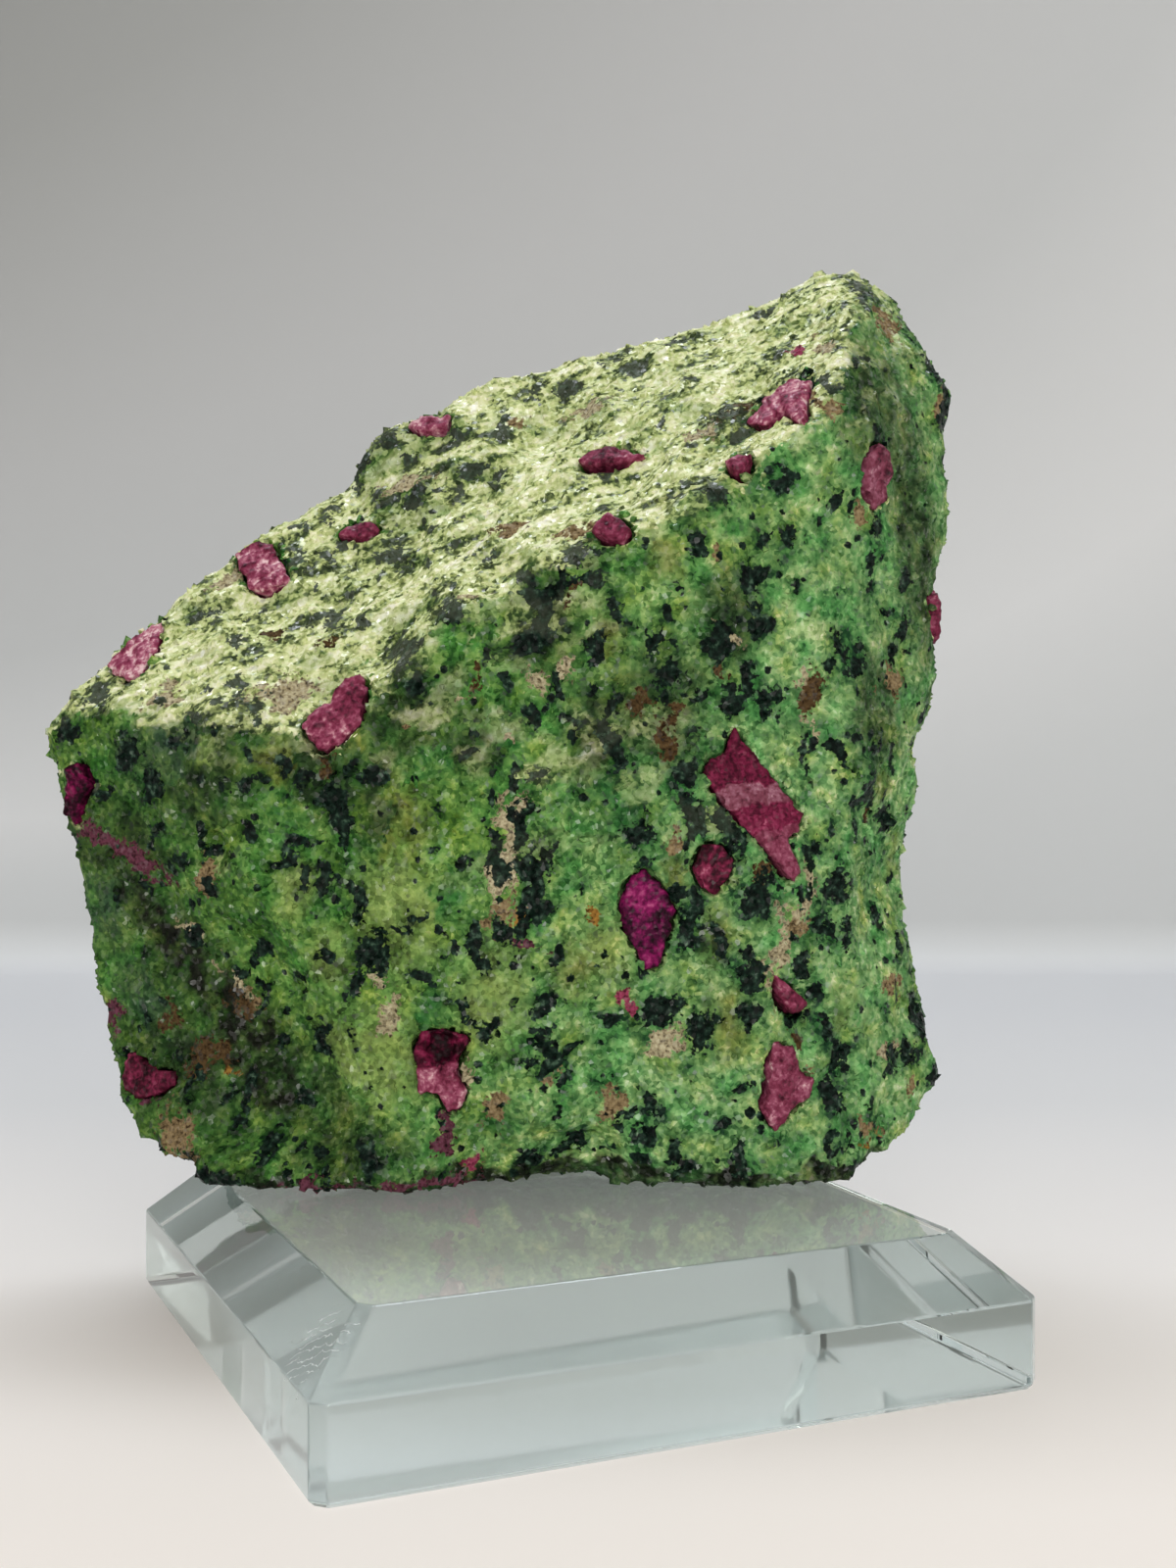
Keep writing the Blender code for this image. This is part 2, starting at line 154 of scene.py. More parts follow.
def add(tree, kind, inputs=None, stops=None, **settings):
    """Add a node; inputs maps a socket to a value or to another node's output."""
    family = {"SHADER": "ShaderNode", "GEOMETRY": "GeometryNode"}[tree.type]
    made = tree.nodes.new(kind if kind.startswith("NodeGroup") else family + kind)
    for field, value in settings.items():
        setattr(made, field, value)
    for socket, value in (inputs or {}).items():
        if isinstance(value, bpy.types.NodeSocket):
            tree.links.new(value, made.inputs[socket])
        else:
            made.inputs[socket].default_value = value
    if stops:
        ramp = made.color_ramp.elements
        while len(ramp) < len(stops):
            ramp.new(0.5)
        for element, (place, colour) in zip(ramp, stops):
            element.position = place
            element.color = paint(colour) if isinstance(colour, str) else (*[colour] * 3, 1.0)
    return made


def material(name, **constants):
    """A material with a Principled shader, and the constant values set on its sockets."""
    made = bpy.data.materials.new(name)
    made.use_nodes = True
    shader = made.node_tree.nodes["Principled BSDF"]
    for socket, value in constants.items():
        shader.inputs[socket.replace("_", " ")].default_value = value
    return made, made.node_tree, shader


def per_mm(size):
    """The texture scale whose pattern repeats about every so many millimetres."""
    return 1.0 / (size * MM)


# %% [markdown]
# The room is a studio sweep: a painted sheet that runs along the table and turns up into a
# wall, with no line where they meet. One plane does it. Its far edge is extruded upwards and
# then rounded with a bevel. It is only a stage, so it is marked as no part of the object. Its
# colour carries painted light and shade: painted darker towards the top, most on the left,
# and painted palest and warmest on the table near the viewer.

# %% Floor and wall
SWEEP_SIDE, SWEEP_HIGH = 6.0, 3.0        # metres
WALL_AHEAD = 0.735               # metres from the eye to the wall
SWEEP_BEND = 0.02                # metres
AIR_GAP = 0.15                   # mm of air that the block keeps under it
DARKER_LEFT = 2.2                # per metre to the left, how much faster the painted shade deepens up the wall there
ahead = Vector((LOOK.x, LOOK.y, 0)).normalized()
to_right = Vector((ahead.y, -ahead.x, 0))


def measured_along(tree, place, axis, start):
    """How far a point lies along an axis, in metres from a start point."""
    return add(tree, "VectorMath", {0: add(tree, "VectorMath", {0: place, 1: start},
                                           operation="SUBTRACT").outputs[0], 1: axis},
               operation="DOT_PRODUCT").outputs["Value"]


def painted_sheet():
    finish, tree, shader = material("matt_card_with_painted_light", Roughness=0.6, IOR=1.5)
    place = add(tree, "TexCoord").outputs["Object"]
    high = measured_along(tree, place, Vector((0, 0, 1)), Vector((0, 0, 0)))
    aside = measured_along(tree, place, to_right, EYE)
    painted_shade_to_left = add(tree, "MapRange", {"Value": aside, "From Min": -0.5, "From Max": 0.5,
                                   "To Min": 1 + 0.5 * DARKER_LEFT,
                                   "To Max": 1 - 0.5 * DARKER_LEFT}).outputs["Result"]
    up = add(tree, "Math", {0: high, 1: painted_shade_to_left}, operation="MULTIPLY").outputs[0]
    # Painted shade: the wall's colour darkens with height, and faster to the left.
    wall = add(tree, "ValToRGB", {"Fac": up}, stops=[
        (0.0, "#cfd2d2"), (0.05, "#d3d6d6"), (0.09, "#dddfdf"), (0.19, "#c3c6c6"),
        (0.29, "#bbbdbd"), (0.5, "#9d9f9d"), (0.7, "#888a88")])
    away = measured_along(tree, place, ahead, EYE)
    # Painted light: the table is palest and warmest near the eye, and greyer further off.
    table = add(tree, "ValToRGB", {"Fac": away}, stops=[
        (0.16, "#f4ece3"), (0.3, "#ebe7e3"), (0.45, "#d3d4d4"), (0.62, "#cbcdcf")])
    is_wall = add(tree, "MapRange", {"Value": high, "From Min": 0.0, "From Max": 0.006})
    tint = add(tree, "Mix", {0: is_wall.outputs["Result"], 6: table.outputs["Color"],
                             7: wall.outputs["Color"]}, data_type="RGBA")
    tree.links.new(tint.outputs[2], shader.inputs["Base Color"])
    grit = add(tree, "TexNoise", {"Vector": place, "Scale": per_mm(1.5), "Detail": 4.0})
    bump = add(tree, "Bump", {"Height": grit.outputs["Fac"], "Strength": 0.05,
                              "Distance": 0.1 * MM})
    tree.links.new(bump.outputs["Normal"], shader.inputs["Normal"])
    return finish


turn = math.atan2(-ahead.x, ahead.y)
middle = Vector((EYE.x, EYE.y, -AIR_GAP * MM)) + ahead * (WALL_AHEAD - SWEEP_SIDE / 2)
bpy.ops.mesh.primitive_plane_add(size=SWEEP_SIDE, location=middle, rotation=(0, 0, turn))
sweep = bpy.context.object
sweep.name = "painted_sweep"
bpy.ops.object.transform_apply(location=True, rotation=True, scale=True)
edit(sweep)
bpy.ops.mesh.select_all(action="DESELECT")
bpy.ops.mesh.select_mode(type="EDGE")
leave_edit()
for edge in sweep.data.edges:
    ends = [sweep.data.vertices[i].co for i in edge.vertices]
    edge.select = all((end - middle).dot(ahead) > SWEEP_SIDE * 0.49 for end in ends)
bpy.ops.object.mode_set(mode="EDIT")
bpy.ops.mesh.extrude_edges_move(TRANSFORM_OT_translate={"value": (0, 0, SWEEP_HIGH)})
leave_edit()
apply(sweep, "BEVEL", width=SWEEP_BEND, segments=10, limit_method="ANGLE")
bpy.ops.object.shade_smooth()
sweep.data.materials.append(painted_sheet())
sweep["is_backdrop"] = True
print("sweep faces:", len(sweep.data.polygons))


# %% [markdown]
# The light of the room comes from a wide bright window above the stone and a little behind
# it, so the top slope shines and the broad face stays in soft light. One large area lamp
# stands for the window, a weaker one for the room in front, and the sky colour fills the
# shadows. Large lamps give the soft shadow edge that a real window gives.

# %% Lamps
def soft_lamp(name, towards, distance, size, power, colour):
    """An area lamp aimed at the stone from a direction, in metres and watts."""
    aim = Vector((7.0, 29.0, 80.0)) * MM
    place = aim + Vector(towards).normalized() * distance
    bpy.ops.object.light_add(type="AREA", location=place,
                             rotation=(aim - place).to_track_quat("-Z", "Y").to_euler())
    lamp = bpy.context.object
    lamp.name = name
    lamp.data.shape = "RECTANGLE"
    lamp.data.size, lamp.data.size_y = size
    lamp.data.energy = power
    lamp.data.color = paint(colour)[:3]
    lamp.visible_camera = False


soft_lamp("window", (0.15, 0.42, 0.95), 1.0, (0.9, 0.6), 12.5, "#f1f6ff")
soft_lamp("room_in_front", (-0.35, -0.95, 0.3), 1.1, (0.9, 0.9), 6.4, "#fbf9f6")
world = bpy.data.worlds.new("pale_room")
world.use_nodes = True
world.node_tree.nodes["Background"].inputs["Color"].default_value = paint("#e9e3dd")
world.node_tree.nodes["Background"].inputs["Strength"].default_value = 0.57
bpy.context.scene.world = world


# %% [markdown]
# ## The skin of the lump
#
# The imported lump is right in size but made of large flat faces. Broken zoisite has relief at
# every size: hollows of a centimetre, knobs of a few millimetres, and the grains themselves.
# A voxel remesh gives an even fine mesh, and two Displace modifiers then move it by cloud
# patterns of 6 mm and 2.5 mm. The mean is moved inwards, because the grains that come later
# stand out again by as much.

# %% Fine skin
SKIN_VOXEL = 0.85
SKIN_SUNK = 0.35                 # how far the skin lies under the solid's surface
skin = merged_copy("zoisite_lump", "zoisite_skin")
apply(skin, "REMESH", mode="VOXEL", voxel_size=SKIN_VOXEL * MM, use_smooth_shade=False)
for size, strength in ((6.0, 1.1), (2.5, 0.7)):
    pattern = bpy.data.textures.new(f"relief_{size}_mm", "CLOUDS")
    pattern.noise_scale = size * MM
    pattern.noise_depth = 1
    apply(skin, "DISPLACE", texture=pattern, texture_coords="LOCAL", mid_level=0.5,
          strength=strength * MM)
apply(skin, "DISPLACE", strength=-SKIN_SUNK * MM, mid_level=0.0)
print("skin faces:", len(skin.data.polygons))


# %% [markdown]
# ## Where each mineral lies
#
# Zoisite makes most of the rock. Black-green hornblende sits in it as clots of a few
# millimetres, and weathered feldspar shows as cream and tan patches. Noise alone would give
# the right kind of rock but not this rock, so the clots that a person would know it by are
# listed one by one. The lump is turned on its block, so places are given in its own frame:
# across its broad face, and height. Each mark is an oval: middle, half length, half width,
# and how far its long axis leans to the right, in degrees.

# %% The lump's own frame
LUMP_TURN = math.radians(-24.0)
ACROSS = np.array([math.cos(LUMP_TURN), math.sin(LUMP_TURN), 0.0])
DEPTH = np.array([-math.sin(LUMP_TURN), math.cos(LUMP_TURN), 0.0])

# %% Hornblende clots, in mm
HORNBLENDE = [
    # left tip and left face
    (-75.9, 88.2, 1.9, 1.8, 0), (-71, 94, 2.2, 2.2, 0), (-54.3, 89.8, 1.9, 0.9, 90),
    (-49.4, 102, 1.5, 0.8, 80), (-48.1, 95.3, 2.2, 1.2, 110), (-44.7, 90.7, 1.9, 1.6, 0),
    (-42.5, 93.2, 1.4, 0.6, 90), (-22.3, 99.8, 2.5, 1.9, 0), (-27.4, 81.7, 1.2, 1.1, 0),
    (-45.5, 81, 1.5, 1.0, 90), (-31.2, 75.5, 5.6, 1.6, -8), (-34, 78, 1.1, 0.9, 0),
    (-33.8, 65.7, 2.5, 1.1, 0), (-28.6, 62.6, 1.9, 1.6, 0), (-31, 65.8, 0.9, 0.7, 0),
    (-37.3, 71, 3.0, 0.9, 80), (-45.5, 73, 1.3, 1.1, 0), (-41, 69, 1.3, 0.9, 60),
    (-51.3, 70.2, 2.2, 1.3, 90), (-51.2, 63.5, 1.7, 1.4, 0), (-53.2, 73.5, 1.0, 0.7, 0),
    (-61, 80, 2.1, 1.6, 0), (-57.5, 86.8, 1.3, 1.2, 0), (-65, 84.5, 2.3, 1.9, 0),
    (-70.5, 78.5, 2.0, 1.2, 80), (-75.3, 69.5, 2.2, 1.2, 0), (-60.5, 72.3, 1.8, 0.9, 0),
    (-58, 68, 1.3, 1.2, 0), (-68, 62.4, 1.1, 0.9, 0), (-25.5, 80.7, 2.4, 0.7, 90),
    (-20.6, 94.7, 1.2, 1.0, 0),
    # lower left and the gully
    (-26.5, 55.7, 3.5, 2.2, 10), (-44, 55.3, 2.1, 1.8, 0), (-48, 51.7, 1.6, 1.1, 60),
    (-40.3, 41.3, 1.7, 1.3, 0), (-34.8, 42, 1.5, 1.4, 0), (-45.8, 34.5, 2.5, 1.3, 10),
    (-46.5, 31, 1.2, 0.9, 0), (-36.5, 32.5, 1.2, 1.1, 0), (-27.3, 36, 0.9, 0.8, 0),
    (-54.5, 56.5, 2.2, 1.2, -60), (-51, 21.6, 4.4, 1.5, 90), (-27, 25.5, 2.8, 1.2, -20),
    (-18.7, 51.6, 1.7, 0.9, -60), (-38, 51, 1.6, 1.0, -40), (-55, 34, 1.6, 1.0, 30),
    (-42, 27, 1.8, 1.0, 0), (-64, 54, 1.2, 0.8, 40),
    # middle of the broad face, upper half
    (-7.3, 96.3, 1.4, 0.5, 90), (3.4, 114.3, 3.2, 1.7, 80), (7.5, 118, 1.0, 0.7, 70),
    (5.4, 110.4, 1.9, 1.0, 70), (-4.4, 111.5, 1.6, 1.2, 0), (-2.1, 105.5, 4.6, 1.6, -15),
    (-2.8, 101.5, 3.0, 1.4, 80), (3, 104.2, 1.4, 0.8, 0), (8.7, 106.3, 1.9, 1.2, -25),
    (11.2, 104, 1.5, 0.8, -60), (15, 101.5, 1.7, 1.2, -20), (17.5, 97, 2.1, 1.5, 10),
    (24.7, 101.2, 3.3, 1.5, 10), (29.6, 96.2, 2.4, 1.2, 0), (32.4, 93.2, 2.0, 1.4, -30),
    (27, 92.3, 2.2, 1.4, -70), (21.7, 92.7, 1.1, 0.9, 20), (1.3, 94.5, 2.2, 0.8, 5),
    (5.3, 94.5, 1.2, 0.9, 0), (-3.3, 90.3, 1.8, 1.3, 20), (3.2, 90, 1.0, 0.9, 0),
    (8.8, 86.2, 3.7, 1.5, -15), (9.5, 91.5, 1.8, 0.8, 0), (16.6, 93.6, 1.6, 1.2, 0),
    (21, 87.2, 1.6, 1.0, 60), (19.2, 81.8, 2.1, 1.7, 0), (-9, 82.5, 1.1, 0.9, 0),
    (-12.7, 84.3, 1.2, 1.1, 0), (-0.8, 81, 1.8, 0.8, 80), (-5.8, 76.5, 1.1, 0.9, 0),
    (20.8, 76, 2.0, 1.2, 0), (26, 74, 3.1, 1.9, -10), (29.8, 110.5, 2.4, 1.6, 0),
    (30, 104.5, 1.8, 1.2, 0), (21, 115.8, 1.6, 0.8, -20), (19.5, 71.5, 1.7, 0.6, 0),
    (12.5, 73.2, 2.1, 1.9, 0), (-3, 66.5, 2.6, 2.0, -10), (-2.4, 62.8, 2.0, 1.6, -20),
    (-12.5, 68, 1.3, 1.0, 0), (-10.8, 56, 3.1, 1.2, -10), (-14.6, 57, 0.9, 0.9, 0),
    (-22, 59.6, 1.2, 0.6, 90),
    (-4, 74, 3.5, 1.2, 10), (-8.5, 70, 3.0, 1.0, -5), (-1, 69, 2.4, 1.2, 0),
    (-6, 58, 2.6, 1.4, -20), (0, 108.5, 3.6, 1.3, 60), (6, 100, 2.6, 1.3, 20),
    # right flank
    (43.3, 101, 1.5, 1.4, 0), (46.3, 101.4, 1.1, 1.0, 0), (45.8, 97.8, 1.9, 1.4, 60),
    (41.7, 97.6, 1.4, 0.8, 15), (52.5, 100.5, 1.0, 0.9, 0), (46.4, 94, 0.7, 0.6, 0),
    (43.4, 85.3, 2.5, 1.1, -30), (39, 86, 1.0, 0.8, 0), (37.4, 84.2, 2.9, 0.8, -8),
    (49.3, 86, 1.3, 1.0, 0), (53.5, 83, 1.4, 0.8, -15), (48.3, 79.5, 2.3, 0.9, -5),
    (46.3, 78, 1.1, 0.9, 0), (51.8, 74.5, 1.9, 1.2, 10), (41.5, 73.5, 1.8, 1.1, -10),
    (38.8, 68.5, 2.1, 0.8, 5), (42.6, 65, 2.9, 1.6, 0), (31, 64, 2.7, 2.3, 30),
    (36, 63.8, 1.1, 0.9, 0), (38.4, 64, 1.0, 0.8, 0), (20.5, 61.4, 3.9, 1.8, 0),
    (24.8, 56.6, 3.3, 0.9, -25), (29.5, 53.2, 2.7, 1.2, -15), (37.2, 53, 2.0, 1.7, 60),
    (38.6, 49.4, 1.3, 0.8, 0), (41, 58.3, 2.3, 1.5, -25), (44.5, 57, 2.6, 1.2, 10),
    (54.5, 55, 1.8, 0.8, 0), (58.6, 42.5, 4.2, 1.5, -20), (54.5, 38, 2.9, 1.5, 80),
    (51.4, 36.6, 1.1, 0.9, 0), (60, 33.4, 1.6, 1.3, 0), (41.5, 42.6, 2.6, 1.4, -25),
    (36, 44.7, 1.8, 1.2, -30), (43.6, 39, 1.9, 1.1, 0), (22, 43.6, 3.1, 2.1, 0),
    (42, 34, 2.4, 1.2, -10), (48.8, 112.5, 3.2, 1.0, 0), (51.5, 107, 1.6, 0.8, -30),
    (55.5, 112.5, 1.5, 1.1, 0), (55, 104.5, 2.2, 1.3, 0), (46.5, 145, 1.7, 1.0, 0),
    (49.5, 120, 1.8, 0.7, 0), (42.8, 122.7, 1.7, 1.1, 0), (46, 123, 1.7, 0.6, 0),
    (33.8, 125, 1.6, 1.4, 0), (31.8, 117.5, 1.4, 1.1, 0), (35.5, 116.5, 2.1, 1.2, 10),
    (30.5, 111.3, 2.0, 1.5, 60), (31.3, 104, 1.8, 1.2, 0), (23.5, 123.5, 2.4, 1.4, 10),
    (20.7, 117, 1.8, 0.9, 0), (21.8, 114.4, 0.8, 0.7, 0), (20.5, 125.5, 1.0, 0.9, 0),
    (17.8, 123, 0.8, 0.7, 0), (56, 162, 3.4, 1.5, -60), (60.5, 156, 3.2, 2.2, -30),
    (62.5, 149, 4.0, 1.9, -15), (64, 141.5, 4.5, 1.5, -5), (65, 132, 5.0, 1.1, 0),
    (49.5, 160, 3.0, 1.3, -15),
    # foot of the broad face
    (-0.3, 47.8, 2.6, 1.5, 75), (-12.4, 47.7, 2.3, 0.9, -50), (-9.1, 44.3, 1.0, 0.9, 0),
    (-5.3, 48, 0.9, 0.7, 0), (3.8, 47.3, 0.7, 0.6, 0), (8.2, 46.3, 1.3, 0.8, 60),
    (15.2, 47, 2.9, 2.0, 70), (14.5, 44.9, 1.1, 0.8, 0), (13.4, 52.9, 1.0, 0.8, 0),
    (-0.6, 40.4, 2.7, 1.5, -10), (3, 42, 2.3, 0.7, 80), (-4.6, 39.6, 1.4, 0.8, -40),
    (2.2, 37, 1.5, 0.8, 10), (1.2, 31.7, 1.5, 0.9, 0), (-9.2, 32.3, 0.7, 0.6, 0),
    (-7.4, 32.6, 0.5, 0.4, 0), (11.2, 32.3, 1.2, 0.9, 60), (13.8, 29, 1.5, 0.8, -10),
    (14.7, 33.2, 2.1, 0.9, -25), (9.3, 37.2, 1.4, 0.5, 0), (2.7, 26.5, 2.3, 1.3, 80),
    (-2.8, 24.3, 2.1, 0.8, 90), (8, 25.5, 0.9, 0.7, 0), (12.5, 24.8, 1.1, 0.8, 0),
    (32.3, 28, 1.3, 0.7, 70), (27.7, 25.2, 3.0, 1.6, 0), (18, 26, 1.5, 1.2, 0),
    (19.5, 23, 1.2, 0.9, 90), (41.8, 26.5, 1.7, 1.2, 0), (44.6, 26.5, 0.6, 0.5, 0),
    (49.5, 25.6, 1.4, 0.7, 80), (46, 23, 1.1, 0.8, 0),
    # top slope, where the clots are drawn out along it
    (-32, 134.5, 3.0, 1.5, 20), (-27.5, 137, 2.4, 1.3, 75), (-24, 133, 1.4, 1.2, 0),
    (-15, 137.5, 2.3, 1.1, 80), (-17.5, 135, 2.1, 0.8, 75), (-8, 140.5, 1.8, 1.5, 50),
    (-8.6, 137.5, 1.8, 1.3, 40), (-3.8, 145, 1.9, 1.4, 60), (2.7, 145, 2.1, 1.4, 70),
    (8.5, 149.7, 1.5, 0.7, 80), (-33, 128.7, 2.5, 0.6, 75), (-27.7, 126, 2.3, 1.1, 60),
    (-22, 126.5, 2.4, 1.8, 50), (-13.5, 130.7, 3.3, 1.6, 70), (-15.5, 127, 1.6, 0.9, 0),
    (-9, 127.5, 1.0, 0.7, 90), (-37, 124.5, 2.4, 1.1, 60), (-42.5, 122, 2.1, 1.1, 60),
    (-19, 123.7, 1.3, 0.6, 80), (-20.5, 121, 1.0, 0.8, 0), (-14, 122.3, 0.7, 0.5, 90),
    (-33, 119, 1.1, 0.7, 80), (-36.5, 116.5, 2.0, 1.3, 70), (-42, 116.5, 2.0, 0.9, -20),
    (-26.3, 116.5, 2.7, 1.6, 70), (-15, 117.5, 2.1, 1.2, 80), (-19, 114, 1.0, 0.9, 0),
    (-10.5, 114.5, 1.0, 0.7, 90), (-15.2, 106.5, 2.2, 1.7, -30), (-25.6, 115.4, 2.6, 1.4, 80),
    (-14.7, 117.3, 1.8, 1.1, 80), (-55.5, 107, 2.1, 1.5, 60), (-48.5, 106, 1.6, 0.5, 70),
    (-46, 107.2, 1.6, 0.5, 75), (-49.5, 102.8, 1.4, 0.6, 80), (-41, 104.5, 1.1, 0.7, 60),
    (-35.5, 105.5, 2.4, 1.0, 75), (-29, 105.5, 1.7, 0.8, 80), (12.5, 148.5, 2.1, 0.9, 60),
    (20, 154.7, 1.5, 0.7, 90), (21.5, 144.5, 1.1, 0.9, 0), (11, 144, 1.2, 0.6, 80),
    (16.5, 137.6, 1.5, 0.9, 60), (34, 157.5, 2.2, 1.1, 60), (8.6, 128.8, 1.6, 1.1, 80),
    (27, 137.4, 3.0, 1.4, 60), (29, 133.5, 1.8, 1.0, 40), (41.5, 142, 3.4, 1.0, 110),
]
print("hornblende clots:", len(HORNBLENDE))

# %% Weathered patches, in mm: a colour, and the ovals that have it
CRUST = {
    "cream": ("#c6bf9f", [
        (-60.2, 93.5, 2.4, 1.4, 70), (-12.6, 108.3, 2.5, 0.7, 85), (25.6, 103, 3.4, 0.7, -38),
        (-1.8, 95.5, 1.9, 1.5, 0), (2.3, 97, 2.0, 0.7, 0), (-5.7, 76.2, 2.7, 2.0, 70),
        (-12.8, 93, 1.4, 0.9, 60), (-6.5, 87, 1.1, 0.5, 0), (37.3, 95.8, 2.0, 1.0, 0),
        (38.9, 88, 2.4, 0.8, -10), (38.2, 66.3, 3.4, 0.7, -10), (-24.2, 46.7, 2.4, 1.3, 10),
        (-12.4, 37.3, 1.7, 1.3, 0), (33.5, 56.5, 3.0, 1.2, 10), (37, 62, 2.8, 0.9, 55),
        (31.3, 53, 2.6, 0.5, -20), (51.3, 39, 1.4, 0.9, 0), (-25, 129, 4.5, 0.8, 75),
        (42, 148.5, 1.8, 1.4, 0), (-7.4, 66.5, 3.4, 1.8, 0), (16.2, 42.3, 2.4, 1.3, 60),
        (-26.8, 51.3, 2.0, 0.6, 60), (-40, 94, 5.0, 1.8, 80), (-53, 113, 3.5, 0.9, 55),
        (22, 134, 3.0, 0.9, 80), (5, 141, 4.0, 0.8, 75), (-6, 72, 5.5, 1.2, 5),
        (-55, 57, 5.0, 0.8, -50), (-49, 50, 3.0, 0.7, -50)]),
    "tan": ("#9c8a68", [
        (-52, 66, 3.3, 1.6, -10), (24, 115, 1.9, 1.1, 0), (52.5, 96.5, 2.5, 1.5, 0),
        (17.9, 71.3, 1.8, 1.4, 0), (37, 60.5, 1.8, 1.6, 0), (-57, 26.8, 3.6, 2.8, -20),
        (-46.3, 48.3, 1.6, 0.6, -10), (-8.4, 33, 2.5, 1.5, 10), (8.5, 32.8, 2.4, 1.6, 0),
        (-9, 59.5, 1.6, 1.4, 60), (-0.4, 36.9, 1.1, 0.9, 90), (52.5, 48.5, 1.6, 1.1, -40),
        (47.3, 29, 2.7, 0.9, -45), (55.3, 33, 1.1, 0.9, 0), (53.5, 154, 3.0, 2.0, -30),
        (62.3, 142, 2.4, 1.3, 0), (47, 121, 1.9, 1.1, 0), (38.5, 38.5, 1.8, 0.6, -40),
        (41.5, 137, 2.6, 1.2, -30), (3, 118.4, 3.4, 1.0, 80), (-7, 119, 3.0, 0.7, 80),
        (-5.5, 139, 1.5, 1.3, 0), (-7, 62.5, 2.2, 1.8, 40), (-22, 89, 0.9, 0.5, 90)]),
    "brown": ("#5d4a30", [
        (-34.4, 101.5, 2.0, 1.2, 70), (24.9, 97.6, 1.9, 1.0, 0), (13, 92, 1.7, 1.3, 0),
        (16.6, 87, 2.9, 1.2, 0), (-33.5, 83, 1.4, 1.1, 0), (39, 94, 3.4, 1.2, 0),
        (49, 76, 1.8, 0.8, 0), (30.5, 66.5, 1.8, 1.0, 60), (-50.5, 39, 2.6, 1.3, -50),
        (-58.8, 45, 2.6, 1.1, 0), (-44.3, 103.6, 1.8, 0.8, 80), (3.3, 108.5, 1.3, 1.0, 0),
        (-54, 38, 3.2, 2.0, 40), (35.8, 42, 1.8, 0.7, -30), (-10.3, 97, 1.4, 1.0, 0),
        (17.5, 91, 1.4, 0.9, 70), (-47, 46, 2.6, 1.8, -40), (28, 137.8, 3.0, 1.2, 60)]),
    "orange": ("#a97f3c", [
        (49, 25.9, 1.2, 0.8, 80), (-4.5, 60.8, 1.2, 0.7, 90), (6, 60.6, 1.2, 0.7, 90),
        (-49, 36.5, 1.4, 0.5, -40)]),
    "mauve": ("#6f3f52", [
        (-67, 70, 8.5, 1.3, -60), (-74.8, 76, 2.2, 1.2, 0), (-5, 57.3, 3.3, 1.0, -70),
        (-15.5, 28.6, 3.1, 1.3, 15), (-69.5, 43.5, 2.3, 1.4, 0), (-35, 21, 5.0, 1.1, 90),
        (-18, 21.2, 8.0, 0.8, 90), (-62, 32, 1.6, 1.0, 60)]),
    "pink": ("#a8486a", [
        (10.6, 48, 1.5, 0.9, 0), (-12, 24, 1.6, 1.4, 20), (38.9, 149.0, 1.6, 1.0, 50)]),
}

